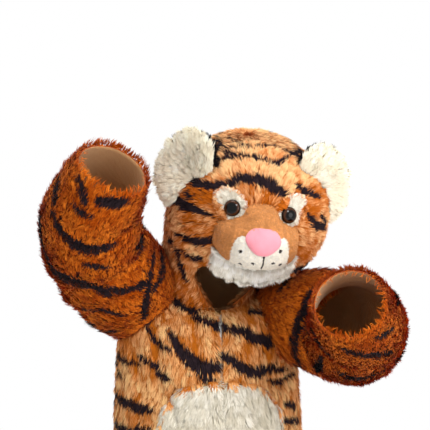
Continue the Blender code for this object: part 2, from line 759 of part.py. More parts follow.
def ear_frame(side):
    """The matrix from an ear's own frame, facing -Y, to the garment's."""
    side_name = "left" if side > 0 else "right"
    place = Matrix.Translation(EAR_PLACES[side_name])
    tilt = Matrix.Rotation(side * EAR_TILT, 4, "Y")
    turn = Matrix.Rotation(side * EAR_TURN[side_name], 4, "Z")
    return hood_frame() @ place @ turn @ tilt


def hood_guide():
    """The hood filled and grown by a seam gap, which trims what is sewn on it."""
    def grown(across, up):
        outward = -normals_of(hood_ring, across, np.minimum(up, CROWN_PLACE))
        return hood_ring(across, up) + outward * SEAM_GAP
    tools = bmesh.new()
    loops = []
    over = np.linspace(0.0, 1.0, HOOD_AROUND, endpoint=False)
    for place in np.linspace(0.0, 1.0, HOOD_UP + 1)[:-1]:
        loops.append([tools.verts.new(point) for point in grown(over, place + 0.0 * over)])
    for below, above in zip(loops, loops[1:]):
        for low in range(len(above)):
            high = (low + 1) % len(above)
            two_triangles(tools, below[low], below[high], above[high], above[low])
    crown = tools.verts.new(grown(np.zeros(1), np.ones(1))[0])
    for low in range(len(over)):
        tools.faces.new((loops[-1][low], loops[-1][(low + 1) % len(over)], crown))
    tools.faces.new(loops[0])
    bmesh.ops.recalc_face_normals(tools, faces=tools.faces)
    return as_cutter(new_object("guide hood form", tools, None))


def build_ears(hood_form):
    """Each ear in two pieces: a hollowed cream front and a rounded black back."""
    def front_height(share):
        dome = EAR_FRONT_DEPTH * math.sqrt(1.0 - share ** EAR_FRONT_FULLNESS)
        return max(dome - EAR_HOLLOW * math.exp(-(share / EAR_HOLLOW_SPREAD) ** 2), EAR_EDGE)

    def back_height(share):
        return max(EAR_BACK_DEPTH * math.sqrt(1.0 - share ** EAR_BACK_FULLNESS), EAR_EDGE)

    for side, side_name in ((1, "left"), (-1, "right")):
        frame = np.array(ear_frame(side))
        for face, face_name, height, colour in ((-1, "front", front_height, "cream plush"),
                                                (1, "back", back_height, "black plush")):
            def place(a, b, out, face=face, frame=frame):
                flat = np.stack((a * EAR_HALF_WIDTH, face * out, b * EAR_HALF_HEIGHT), axis=-1)
                return flat @ frame[:3, :3].T + frame[:3, 3]
            item = pad("ear_" + face_name + "_" + side_name, place, HALF_GAP, height, colour,
                       rings=EAR_RINGS, segments=EAR_AROUND)
            cut(item, hood_form)


def muzzle_half_width(tall):
    """The muzzle's half width, drawn in between the eyes and filled out at the jowls."""
    waist = np.exp(-((tall - MUZZLE_WAIST_AT) / MUZZLE_WAIST_SPREAD) ** 2)
    fall = smoothstep(-tall / MUZZLE_JOWL_OVER)
    return MUZZLE_HALF_WIDTH * (1.0 - MUZZLE_WAIST * waist + MUZZLE_JOWL * fall)


def muzzle_depth(x, level):
    """How far the muzzle's dome stands out from its back plane."""
    tall = (level - MUZZLE_LEVEL) / MUZZLE_HALF_HEIGHT
    wide = np.abs(x) / muzzle_half_width(tall)
    share = np.sqrt(wide ** 2 + tall ** 2)
    return MUZZLE_REACH * np.sqrt(np.maximum(1.0 - share ** MUZZLE_FULLNESS, 0.0))


def muzzle_height(share):
    """The muzzle's height at a share of its radius, with an edge that isn't sharp."""
    return max(MUZZLE_REACH * math.sqrt(1.0 - share ** MUZZLE_FULLNESS), MUZZLE_EDGE)


def muzzle_front(x, level, out):
    """Points on the muzzle's dome, moved out from it."""
    y = MUZZLE_BACK - muzzle_depth(x, level) - out
    return from_hood(np.stack((x, y, level), axis=-1))


def build_muzzle(hood_form):
    """The upper and the lower muzzle, parted by a seam that falls at the sides."""
    def dome(a, b, out):
        x = a * muzzle_half_width(b)
        level = MUZZLE_LEVEL + b * MUZZLE_HALF_HEIGHT
        y = MUZZLE_BACK - out
        return from_hood(np.stack((x, y, level), axis=-1))

    for name, colour, operation, shift in (
            ("muzzle_top", "brown velour", "DIFFERENCE", HALF_GAP),
            ("muzzle_lower", "white velour", "INTERSECT", -HALF_GAP)):
        item = pad(name, dome, 0.0, muzzle_height, colour,
                   rings=MUZZLE_RINGS, segments=MUZZLE_AROUND)
        edge = [(x + shift * math.copysign(1.0, x), SPLIT_BACK, level + shift)
                for x, level in MUZZLE_SPLIT]
        outline = edge + [(edge[-1][0], SPLIT_BACK, SPLIT_FOOT),
                          (edge[0][0], SPLIT_BACK, SPLIT_FOOT)]
        seam = prism("guide " + name, outline, (0, -GUIDE_REACH, 0), hood_frame())
        cut(item, seam, operation)
        cut(item, hood_form)


def nose_outline(a, b):
    """A rounded triangle, wide at the top, from the unit disc."""
    narrow = 1.0 - NOSE_NARROWS * smoothstep((NOSE_WIDEST - b) / (1.0 + NOSE_WIDEST))
    return a * narrow, b * (1.0 - NOSE_FLATTENS * (1.0 - np.abs(a)))


def build_nose():
    """The nose pad on the muzzle's tip."""
    def place(a, b, out):
        wide, tall = nose_outline(a, b)
        return muzzle_front(wide * NOSE_HALF_WIDTH, NOSE_LEVEL + tall * NOSE_HALF_HEIGHT, out)

    def height(share):
        rise = math.sqrt(1.0 - share ** NOSE_FULLNESS)
        return max(NOSE_PROUD * rise, NOSE_EDGE) + UNDERCUT

    item = pad("nose", place, -UNDERCUT, height, "pink velour",
               rings=NOSE_RINGS, segments=NOSE_AROUND)
    cut(item, bpy.data.objects["guide muzzle form"])


def build_eyes():
    """Furry eye patches with a domed plastic eye on each."""
    for side_name in EYE_PLACES:
        patch_x, patch_level = EYE_PATCH_PLACES[side_name]
        tilt = EYE_PATCH_TILT[side_name]
        turn = (math.cos(tilt), math.sin(tilt))

        def patch(a, b, out, x=patch_x, level=patch_level, turn=turn):
            wide = a * EYE_PATCH_HALF_WIDTH
            tall = b * EYE_PATCH_HALF_HEIGHT
            return hood_front(x + turn[0] * wide - turn[1] * tall,
                              level + turn[1] * wide + turn[0] * tall, out)

        def patch_height(share):
            return EYE_PATCH_THICK + SEAM_GAP + UNDERCUT

        patch_item = pad("eye_patch_" + side_name, patch, -UNDERCUT, patch_height,
                         "white plush", rings=EYE_PATCH_RINGS, segments=EYE_PATCH_AROUND)
        cut(patch_item, bpy.data.objects["guide hood form"])
        cut(patch_item, bpy.data.objects["guide muzzle form"])
        eye_x, eye_level = EYE_PLACES[side_name]

        def eye(a, b, out, x=eye_x, level=eye_level):
            return hood_front(x + a * EYE_RADIUS, level + b * EYE_RADIUS, out)

        def eye_height(share):
            return EYE_RIM + EYE_DOME * math.sqrt(1.0 - share * share)

        pad("eye_" + side_name, eye, 3 * SEAM_GAP + EYE_PATCH_THICK, eye_height,
            "black plastic", rings=EYE_RINGS, segments=EYE_AROUND)


def muzzle_guide():
    """The muzzle filled and grown by a seam gap, which trims the eye patches and the ruff."""
    def dome(a, b, out):
        x = a * (muzzle_half_width(b) + SEAM_GAP)
        level = MUZZLE_LEVEL + b * (MUZZLE_HALF_HEIGHT + SEAM_GAP)
        return from_hood(np.stack((x, MUZZLE_BACK - out, level), axis=-1))

    def height(share):
        return muzzle_height(share) + SEAM_GAP

    return as_cutter(pad("guide muzzle form", dome, 0.0, height, None,
                         rings=MUZZLE_RINGS, segments=MUZZLE_AROUND))


def build_ruff():
    """The long white edging that hangs below the muzzle, over the face opening's top edge."""
    def surface(across, along):
        x = (2.0 * across - 1.0) * RUFF_HALF_WIDTH
        arch = RUFF_ARCH * (x / RUFF_HALF_WIDTH) ** 2
        level = RUFF_TOP_LEVEL + arch - RUFF_DEPTH * along
        return hood_front(x, level, SEAM_GAP + RUFF_THICK + 0.0 * x)

    item = sheet("chin_ruff", surface, RUFF_CELLS, RUFF_THICK + UNDERCUT, "white plush", facing=-1)
    cut(item, bpy.data.objects["guide hood form"])
    cut(item, bpy.data.objects["guide muzzle form"])


def front_point(side, x, z, out):
    """A point on the jumpsuit's front at a width and a height, moved out from its folds."""
    heights, places = front_line()
    along = np.interp(-z, -heights, places)
    row = read_table(BODY_COLUMNS, BODY_ROWS, along)
    reach = row["half_width"] - np.maximum(row["leg_centre"], 0.0)
    start = np.arccos(np.clip(-row["leg_centre"] / reach, -1.0, 1.0))
    angle = np.arccos(np.clip((x - np.maximum(row["leg_centre"], 0.0)) / reach, -1.0, 1.0))
    across = np.clip(1.0 - angle / start, 0.0, 1.0)
    surface = body_surface(side, -1)
    outward = normals_of(surface, across, along) * (side * -1)
    return surface(across, along) + outward * np.asarray(out)[..., None]


def front_guide(side, side_name):
    """One front's outer face grown by a seam gap, which trims the patch that lies on it."""
    plain = body_surface(side, -1)

    def grown(across, along):
        outward = normals_of(plain, across, along) * -side
        return plain(across, along) + outward * SEAM_GAP
    return as_cutter(sheet("guide front " + side_name, grown, (BODY_ACROSS, BODY_DOWN), PLUSH,
                           None, facing=-side, edges=(channel_edge, seam_edge)))


def build_belly_patch():
    """The cream patch in two halves, one on each front, up to the zip's channel."""
    for side, side_name in ((1, "left"), (-1, "right")):
        def surface(across, along, side=side):
            half = 2.0 * along - 1.0
            bulge = (1.0 - np.abs(half) ** PATCH_SQUARENESS) ** (1.0 / PATCH_SQUARENESS)
            outer = PATCH_END_WIDTH + (PATCH_HALF_WIDTH - PATCH_END_WIDTH) * bulge
            x = CHANNEL_HALF_WIDTH + across * (outer - CHANNEL_HALF_WIDTH)
            z = PATCH_TOP + along * (PATCH_BOTTOM - PATCH_TOP)
            return front_point(side, x, z, SEAM_GAP + LONG_PLUSH + 0.0 * x)

        item = sheet("belly_patch_" + side_name, surface, PATCH_CELLS, LONG_PLUSH + UNDERCUT,
                     "cream plush", facing=-side)
        cut(item, front_guide(side, side_name))


def zip_section():
    """A zip half's section: width from the middle, and height from the plush's outer face."""
    inner_face = -PLUSH - TAPE_GAP
    return (
        (HALF_GAP, inner_face - TAPE_THICK),
        (TAPE_HALF_WIDTH, inner_face - TAPE_THICK),
        (TAPE_HALF_WIDTH, inner_face),
        (TEETH_HALF_WIDTH, inner_face),
        (TEETH_HALF_WIDTH, inner_face + TEETH_PROUD),
        (HALF_GAP, inner_face + TEETH_PROUD),
    )


def build_zip_tapes():
    """Two tapes behind the fronts' edges, each with its row of teeth."""
    for side, side_name in ((1, "left"), (-1, "right")):
        tools = bmesh.new()
        loops = []
        for z in np.linspace(ZIP_TOP, ZIP_BOTTOM, ZIP_STATIONS):
            section = np.array(zip_section())
            points = front_point(side, section[:, 0], z + 0.0 * section[:, 0], section[:, 1])
            points[:, 0] = side * section[:, 0]
            loops.append([tools.verts.new(point) for point in points])
        for above, below in zip(loops, loops[1:]):
            for low in range(len(above)):
                high = (low + 1) % len(above)
                two_triangles(tools, above[low], above[high], below[high], below[low])
        tools.faces.new(loops[0])
        tools.faces.new(loops[-1])
        bmesh.ops.recalc_face_normals(tools, faces=tools.faces)
        new_object("zip_tape_" + side_name, tools, "brown tape")


def slider_frame():
    """The slider's frame: its +Y looks out of the front, its +Z up along the zip."""
    half = SLIDER_HALF_LENGTH
    low = front_point(1, np.zeros(1), np.array([SLIDER_LEVEL - half]), np.zeros(1))[0]
    high = front_point(1, np.zeros(1), np.array([SLIDER_LEVEL + half]), np.zeros(1))[0]
    up = Vector(high - low).normalized()
    side = Vector((-1.0, 0.0, 0.0))
    out = up.cross(side).normalized()
    lift = -PLUSH - TAPE_GAP + TEETH_PROUD + SEAM_GAP
    place = Vector((0.0, *((low + high) / 2)[1:])) + out * lift
    return Matrix((
        (side.x, out.x, up.x, place.x),
        (side.y, out.y, up.y, place.y),
        (side.z, out.z, up.z, place.z),
        (0.0, 0.0, 0.0, 1.0),
    ))


def build_slider():
    """The slider's plate with its bridge, and the tab that turns in the bridge."""
    frame = slider_frame()
    tools = bmesh.new()
    bmesh.ops.create_cube(tools, size=1.0)
    size = Matrix.Diagonal((2 * SLIDER_HALF_WIDTH, SLIDER_THICK, 2 * SLIDER_HALF_LENGTH, 1.0))
    bmesh.ops.transform(tools, matrix=Matrix.Translation((0, SLIDER_THICK / 2, 0)) @ size,
                        verts=tools.verts)
    long_edges = [edge for edge in tools.edges
                  if abs(edge.verts[0].co.y - edge.verts[1].co.y) > SLIDER_THICK / 2]
    bmesh.ops.bevel(tools, geom=long_edges, offset=SLIDER_CORNER, segments=3, profile=0.5,
                    affect="EDGES")
    slider = new_object("zip_slider", tools, "grey metal")
    slider.matrix_world = frame

    curve = bpy.data.curves.new("bridge", "CURVE")
    curve.dimensions = "3D"
    curve.bevel_depth = BRIDGE_WIRE
    curve.bevel_resolution = 2
    curve.use_fill_caps = True
    line = curve.splines.new("POLY")
    past = BRIDGE_PAST_HALF_TURN
    turns = np.linspace(-past * np.pi, (1.0 + past) * np.pi, BRIDGE_POINTS)
    line.points.add(len(turns) - 1)
    for point, turn in zip(line.points, turns):
        point.co = (0.0, SLIDER_THICK + BRIDGE_RADIUS * math.sin(turn),
                    BRIDGE_RADIUS * math.cos(turn), 1.0)
    bridge = bpy.data.objects.new("guide bridge", curve)
    bpy.context.scene.collection.objects.link(bridge)
    as_bridge = bridge.evaluated_get(bpy.context.evaluated_depsgraph_get())
    mesh = bpy.data.meshes.new_from_object(as_bridge)
    bpy.data.objects.remove(bridge, do_unlink=True)
    bridge = bpy.data.objects.new("guide bridge", mesh)
    bpy.context.scene.collection.objects.link(bridge)
    bridge.matrix_world = frame
    cut(slider, as_cutter(bridge), "UNION")
    return frame


def build_tab(frame):
    """The pull tab: its origin lies on the bar that turns in the bridge."""
    tools = bmesh.new()
    bmesh.ops.create_cube(tools, size=1.0)
    middle = -TAB_LENGTH / 2 + TAB_BAR_RADIUS
    size = Matrix.Diagonal((2 * TAB_HALF_WIDTH, TAB_THICK, TAB_LENGTH, 1.0))
    bmesh.ops.transform(tools, matrix=Matrix.Translation((0, 0, middle)) @ size,
                        verts=tools.verts)
    corners = [edge for edge in tools.edges
               if abs(edge.verts[0].co.y - edge.verts[1].co.y) > TAB_THICK / 2]
    lower = [edge for edge in corners if edge.verts[0].co.z < middle]
    bmesh.ops.bevel(tools, geom=lower, offset=TAB_CORNER, segments=4, profile=0.5,
                    affect="EDGES")
    tab = new_object("zip_pull", tools, "grey metal")
    place = frame @ Matrix.Translation((0.0, SLIDER_THICK + BAR_HEIGHT, 0.0))
    tab.matrix_world = place
    half = TAB_WINDOW_HALF_WIDTH
    deep = TAB_THICK * 3
    window_top = -TAB_BAR_RADIUS
    slot_top = window_top - TAB_WINDOW_LENGTH - TAB_CROSSBAR
    for name, top, length in (("guide tab window", window_top, TAB_WINDOW_LENGTH),
                              ("guide tab slot", slot_top, TAB_SLOT_LENGTH)):
        outline = [(-half, -deep, top), (half, -deep, top), (half, -deep, top - length),
                   (-half, -deep, top - length)]
        cut(tab, prism(name, outline, (0, 2 * deep, 0), place))


def main():
    clear_scene()
    hood_form = hood_guide()
    build_sleeves(hood_form)
    build_body()
    build_belly_patch()
    build_hood()
    muzzle_guide()
    build_ears(hood_form)
    build_muzzle(hood_form)
    build_nose()
    build_eyes()
    build_ruff()
    build_zip_tapes()
    build_tab(build_slider())


if __name__ == "__main__":
    main()
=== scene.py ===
"""A child's tiger costume: plush shells with combed pile, a stuffed muzzle and ears, and a zip.

The garment is held in its worn form, with no wearer. The front looks along -Y and the wearer's
left is at +X. Every cloth wall is a thin shell, and the pile on it is a joined mesh of combed
locks, each strand a small bent blade. All lengths are in metres.
"""
import json
import math

import bpy
import numpy as np
from mathutils import Matrix, Vector

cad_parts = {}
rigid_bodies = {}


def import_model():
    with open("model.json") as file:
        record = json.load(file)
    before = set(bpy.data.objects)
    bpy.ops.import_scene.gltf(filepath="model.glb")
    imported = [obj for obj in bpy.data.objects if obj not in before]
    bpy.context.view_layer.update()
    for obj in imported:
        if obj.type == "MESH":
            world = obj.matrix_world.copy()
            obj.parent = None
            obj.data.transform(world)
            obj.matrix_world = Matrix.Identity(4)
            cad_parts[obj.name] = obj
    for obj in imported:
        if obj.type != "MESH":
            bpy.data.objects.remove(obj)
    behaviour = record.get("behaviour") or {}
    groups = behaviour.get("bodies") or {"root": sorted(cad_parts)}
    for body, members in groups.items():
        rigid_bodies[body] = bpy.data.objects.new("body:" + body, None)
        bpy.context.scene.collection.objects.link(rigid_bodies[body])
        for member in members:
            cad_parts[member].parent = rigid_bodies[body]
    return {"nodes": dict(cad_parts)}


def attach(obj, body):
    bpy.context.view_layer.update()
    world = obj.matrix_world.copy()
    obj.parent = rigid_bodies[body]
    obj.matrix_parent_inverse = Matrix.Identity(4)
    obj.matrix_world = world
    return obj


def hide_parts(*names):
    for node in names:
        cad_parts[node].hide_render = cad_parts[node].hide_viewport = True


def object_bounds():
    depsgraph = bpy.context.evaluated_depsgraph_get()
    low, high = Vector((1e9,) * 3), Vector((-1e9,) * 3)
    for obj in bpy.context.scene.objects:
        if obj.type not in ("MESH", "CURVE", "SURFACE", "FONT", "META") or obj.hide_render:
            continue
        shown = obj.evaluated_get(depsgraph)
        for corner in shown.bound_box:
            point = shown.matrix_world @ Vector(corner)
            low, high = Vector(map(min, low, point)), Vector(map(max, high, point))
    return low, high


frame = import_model()
CAD_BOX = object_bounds()

bl_info = {
    "name": "Tiger Costume",
    "version": (1, 0, 0),
    "blender": (4, 5, 0),
    "location": "3D View > Sidebar > Costume",
    "description": "Makes a child's hooded tiger costume with combed plush pile",
    "category": "Object",
}

SIDES = ((1, "left"), (-1, "right"))
DOWN = np.array((0.0, 0.0, -1.0))
SEAM_GAP = 0.0003
GUIDE_REACH = 0.3

# How much wider than its table's half width the dyed pile of a stripe spreads, and how much
# more again on the jumpsuit's longer pile
STRIPE_FULLNESS = 1.15
BODY_STRIPE_FULLNESS = 1.2

# The pile is set closer where it is mostly seen: the way from the garment to the onlooker
ONLOOKER = np.array((-0.21, -0.98, 0.05))

# The picture's middle, off the camera's axis, as shares of the picture's width
PICTURE_SHIFT = (0.0186, 0.128)
SENSOR_WIDTH = 36.0


def metres(lines, scale=1000.0):
    """A table of millimetres, in metres; a scale for each column says where it differs."""
    return np.array([line.split() for line in lines.split("\n")[1:-1]], dtype=float) / scale


def stripe_rows(lines, scale=1000.0):
    """Stripes as tables: each is written as one line, with three numbers a point."""
    rows = (np.array(line.split(), dtype=float) for line in lines.split("\n")[1:-1])
    return [row.reshape(-1, 3) / scale for row in rows]


# Jumpsuit, from the neckline down to the ankle hem
BODY_COLUMNS = ("z", "half_width", "half_depth", "centre_y", "lean", "leg_centre", "inner_edge")
BODY_ROWS = metres("""
-18 70 72 -12 36 0 0
-40 98 88 -6 26 0 0
-68 124 99 -2 14 0 0
-108 140 107 0 5 0 0
-170 146 112 -1 0 0 0
-260 150 121 -5 0 0 0
-350 154 120 -2 0 0 0
-415 156 112 1 0 12 0
-455 157 100 3 0 60 0
-500 156 90 4 0 80 4
-600 150 78 3 0 81 12
-700 144 70 0 0 81 18
-790 139 66 3 0 81 23
-840 136 63 5 0 80 24
""")
SHOULDER_LIFT = {-1: 0.048, 1: 0.006}
LIFT_FROM = 0.07
LIFT_TO = 0.13
LIFT_FADES_FROM = -0.08
LIFT_FADES_TO = -0.19

# Folds and creases of the jumpsuit: soft troughs from one point to another, seen from the
# front. The face is -1 on the front and 1 on the back, and the depth is in tenths of a
# millimetre.
FOLD_COLUMNS = ("face", "x_from", "z_from", "x_to", "z_to", "width", "depth")
FOLD_SCALE = (1, 1000, 1000, 1000, 1000, 1000, 10000)
FOLD_CLEAR_OF_SEAM = 0.03
FOLD_END_SHARE = 0.08
BODY_FOLDS = metres("""
-1 -130 -140 -60 -205 20 90
-1 -115 -215 -30 -245 19 53
-1 128 -135 55 -190 20 83
-1 120 -230 65 -262 17 53
-1 -62 -205 -40 -275 15 45
-1 -135 -372 -50 -432 22 105
-1 132 -365 45 -438 20 97
-1 -140 -600 -40 -625 20 83
-1 -30 -655 -110 -680 17 67
-1 140 -615 50 -632 19 90
-1 35 -668 120 -702 19 67
-1 -125 -765 -45 -778 17 75
-1 130 -752 40 -770 17 83
1 -125 -120 -30 -205 22 90
1 130 -125 40 -190 20 90
1 -105 -255 0 -285 20 67
1 120 -285 20 -312 20 67
1 -120 -440 -35 -480 22 97
1 125 -445 40 -492 20 90
1 -130 -640 -45 -652 20 83
1 132 -628 45 -650 20 75
1 -120 -760 -50 -775 17 67
1 125 -770 45 -782 17 75
""", FOLD_SCALE)
BODY_CREASES = metres("""
-1 -41 -48 -38 -128 6 70
-1 -102 -50 -92 -172 7 76
-1 -126 -105 -118 -190 6 56
-1 47 -58 43 -126 6 66
-1 74 -96 80 -172 6 62
-1 104 -100 98 -172 6 40
-1 -78 -178 -60 -236 6 44
-1 -20 -182 -26 -232 5 30
-1 52 -190 40 -262 6 36
-1 -104 -268 -60 -330 7 42
-1 100 -282 70 -342 7 40
-1 -70 -456 -116 -520 7 42
-1 72 -462 122 -508 8 46
-1 -96 -712 -60 -744 7 36
-1 66 -724 100 -736 6 36
1 -70 -82 -52 -168 6 42
1 50 -90 74 -160 7 38
1 -92 -320 -36 -372 7 44
1 96 -352 40 -390 7 40
1 -112 -536 -64 -572 7 42
1 118 -548 60 -566 6 38
1 -104 -694 -58 -716 7 40
1 52 -700 106 -728 7 40
""", FOLD_SCALE)

# Sleeves, from inside the armhole to the cuff
SLEEVE_COLUMNS = ("x", "y", "z", "radius")
SLEEVE_ROWS = {
    "right": metres("""
-75 6 -84 46
-101 0 -56 67
-130 -16 -24 80
-168 -52 10 82
-198 -100 50 78
-198 -156 102 70
-180 -205 152 56
"""),
    "left": metres("""
76 4 -98 42
104 -6 -84 62
135 -34 -72 75
168 -88 -78 80
191 -150 -90 79
175 -222 -70 71
143 -290 -34 56
"""),
}

# Folds of the sleeves: where along the sleeve and around it, in turns from its top, how far
# round each one runs and how much it slants, all in hundredths, its width along the sleeve in
# thousandths, and its depth in tenths of a millimetre
SLEEVE_FOLD_COLUMNS = ("along", "around", "span", "slant", "width", "depth")
SLEEVE_FOLD_SCALE = (100, 100, 100, 100, 1000, 10000)
SLEEVE_FOLDS = {
    "right": metres("""
56 34 20 10 51 115
67 30 16 -8 45 81
44 40 14 16 45 68
62 80 15 5 45 68
82 62 18 6 42 61
36 6 15 -10 48 61
50 60 10 22 20 44
61 52 12 16 18 40
74 42 12 -12 18 40
88 20 13 10 16 36
70 96 10 14 18 36
""", SLEEVE_FOLD_SCALE),
    "left": metres("""
58 72 18 -10 51 115
69 76 15 8 45 74
45 66 14 -14 45 68
60 22 16 5 45 68
82 42 18 -6 42 61
35 96 14 10 48 61
47 34 11 -20 20 44
52 18 10 14 18 40
76 62 12 12 18 40
90 86 13 -10 16 36
66 48 10 14 18 36
""", SLEEVE_FOLD_SCALE),
}

# Hood: its own frame leans forward, turns a little and tips to the wearer's left
HOOD_CENTRE = Vector((0.051, -0.062, 0.095))
HOOD_TURN = math.radians(-7.0)
HOOD_LEAN = math.radians(20.0)
HOOD_TIP = math.radians(7.4)
HOOD_COLUMNS = ("level", "centre_x", "centre_y", "half_width", "half_depth", "own_form")
HOOD_ROWS = metres("""
-130 -32 0 70 76 0
-106 -24 10 88 94 0.45
-70 -10 6 110 114 1
-30 -2 1 121 126 1
10 0 0 123 130 1
50 0 0 115 122 1
84 0 1 93 100 1
106 0 2 63 69 1
116 0 3 34 38 1
119 0 3 0 0 1
""", (1000, 1000, 1000, 1000, 1000, 1))
COLLAR_SPREAD = 6.0
CROWN_PLACE = 0.995
GUSSET_HALF_WIDTH = 0.042
GUSSET_FRONT_LEVEL = -0.075
CHIN_SEAM = -0.031

# Face opening of the hood, seen along the hood's own front
OPENING_COLUMNS = ("level", "left_edge", "right_edge")
OPENING_ROWS = metres("""
-46 -30 18
-54 -58 46
-72 -74 60
-90 -75 56
-110 -64 30
-130 -49 -4
-150 -37 -25
""")

# Ears, in the hood's frame
EAR_HALF_WIDTH = 0.064
EAR_HALF_HEIGHT = 0.045
EAR_FRONT_DEPTH = 0.013
EAR_FRONT_FULLNESS = 2.6
EAR_BACK_DEPTH = 0.01
EAR_BACK_FULLNESS = 2.2
EAR_FUR_DEPTH = 0.004
EAR_HOLLOW = 0.006
EAR_HOLLOW_SPREAD = 0.55
EAR_PLACES = {"left": (0.096, -0.034, 0.067), "right": (-0.108, -0.034, 0.065)}
EAR_COMB_FROM = np.array((0.0, -0.02, 0.03))
EAR_TILT = math.radians(62)
EAR_TURN = {"left": math.radians(27), "right": math.radians(43)}

# Muzzle and nose, in the hood's frame
MUZZLE_LEVEL = 0.006
MUZZLE_BACK = -0.104
MUZZLE_REACH = 0.078
MUZZLE_HALF_WIDTH = 0.062
MUZZLE_HALF_HEIGHT = 0.048
MUZZLE_FULLNESS = 2.5
MUZZLE_WAIST = 0.38
MUZZLE_WAIST_AT = 0.66
MUZZLE_WAIST_SPREAD = 0.24
MUZZLE_JOWL = 0.24
MUZZLE_JOWL_OVER = 0.9
MUZZLE_SPLIT = (
    (-0.038, -0.07), (-0.038, -0.026), (-0.0408, -0.008), (-0.039, 0.009), (-0.035, 0.017),
    (-0.029, 0.0205), (0.029, 0.023), (0.0345, 0.02), (0.0375, 0.013), (0.0405, 0.0),
    (0.043, -0.02), (0.043, -0.07),
)
NOSE_LEVEL = 0.017
NOSE_HALF_WIDTH = 0.0265
NOSE_HALF_HEIGHT = 0.0205
NOSE_PROUD = 0.0065
NOSE_FULLNESS = 2.4
NOSE_NARROWS = 0.32
NOSE_WIDEST = 0.25
NOSE_FLATTENS = 0.1

# Eyes and eye patches, in the hood's frame, seen from its front
EYE_PLACES = {"right": (-0.042, 0.042), "left": (0.0385, 0.042)}
EYE_RADIUS = 0.0122
EYE_DOME = 0.0065
EYE_RIM = 0.0012
EYE_PATCH_PLACES = {"right": (-0.045, 0.0445), "left": (0.044, 0.047)}
EYE_PATCH_HALF_WIDTH = 0.024
EYE_PATCH_HALF_HEIGHT = 0.02
EYE_PATCH_TILT = {"right": -0.5, "left": 0.5}
EYE_PATCH_THICK = 0.003

# Where the hood's pile is brushed over an eye patch's rim: a bearing and a spread in degrees
EYE_PATCH_COVERED = {
    "right": ((215.0, 60.0),),
    "left": ((150.0, 45.0), (350.0, 50.0)),
}

# Chin ruff: a band of long plush along the top edge of the face opening
RUFF_HALF_WIDTH = 0.055
RUFF_TOP_LEVEL = -0.045
RUFF_DEPTH = 0.022
RUFF_ARCH = 0.02

# Belly patch, halved by the zip
PATCH_TOP = -0.168
PATCH_BOTTOM = -0.405
PATCH_HALF_WIDTH = 0.098
PATCH_SQUARENESS = 2.6
PATCH_END_WIDTH = 0.02

# Zip
ZIP_TOP = -0.0575
ZIP_BOTTOM = -0.39
CHANNEL_END = -0.41
CHANNEL_CLOSES_OVER = 0.014
CHANNEL_HALF_WIDTH = 0.0055
PLUSH = 0.007
TAPE_HALF_WIDTH = 0.0115
TAPE_THICK = 0.001
TAPE_GAP = 0.0012
TOOTH_PITCH = 0.0024
TOOTH_LENGTH = 0.0048
TOOTH_HEIGHT = 0.002

# Stripes on the jumpsuit, seen from the front: x, z and half width at each point, in
# millimetres
FRONT_STRIPES = stripe_rows("""
-115 -70 2  -94 -105 4  -73 -121 3
-76 -92 4  -62 -115 6  -48 -133 8  -26 -144 9  -6 -144 6
2 -127 5  23 -141 6  47 -155 7  78 -152 5  112 -157 3
-52 -156 1  -34 -157 2  -26 -163 4  -8 -163 2
72 -168 3  94 -175 4  126 -166 3
-144 -124 2  -135 -139 4  -113 -142 3
-112 -131 3  -101 -141 4  -90 -143 4
-88 -154 5  -78 -161 4
-146 -148 3  -137 -166 3
-149 -186 4  -140 -199 5  -121 -208 6  -100 -213 4
-36 -72 4  0 -86 6  8 -87 4  41 -95 7
43 -101 6  76 -110 8  87 -104 6  128 -108 6
50 -66 4  84 -68 5  106 -71 6  124 -60 8
-60 -40 12  -44 -50 13  -36 -60 8
-92 -20 7  -98 -50 6  -102 -75 4
100 -206 3  122 -214 5
100 -232 4  128 -240 4
-150 -240 4  -132 -246 5  -104 -240 2
-152 -282 3  -128 -292 7  -100 -282 4
150 -278 4  130 -292 7  106 -288 3
-150 -330 5  -120 -345 6  -96 -336 2
152 -332 5  118 -340 6  98 -330 2
-154 -384 4  -118 -400 8  -70 -396 3
154 -380 4  124 -396 8  78 -398 3
-40 -424 2  -10 -430 5  30 -422 2
-154 -442 5  -110 -458 8  -60 -448 3
156 -436 5  108 -462 8  56 -456 3
-152 -498 5  -118 -512 8  -80 -504 4
20 -506 4  52 -516 7  90 -508 3
152 -520 5  122 -536 8  94 -532 3
-66 -548 3  -34 -560 7  -12 -552 5
-150 -566 6  -106 -582 9  -70 -574 3
18 -570 5  60 -584 9  112 -580 3
-128 -632 3  -78 -640 8  -22 -630 5
148 -618 6  108 -634 8  62 -630 3
20 -668 5  56 -676 7  92 -668 3
-146 -680 6  -104 -694 9  -56 -684 3
144 -700 5  110 -716 8  56 -712 4
-22 -722 5  -58 -734 8  -100 -728 3
-140 -764 5  -96 -780 9  -46 -772 4
26 -756 5  70 -772 9  120 -762 3
138 -806 5  92 -816 8  50 -810 3
-30 -808 4  -70 -822 8  -120 -812 3
""")
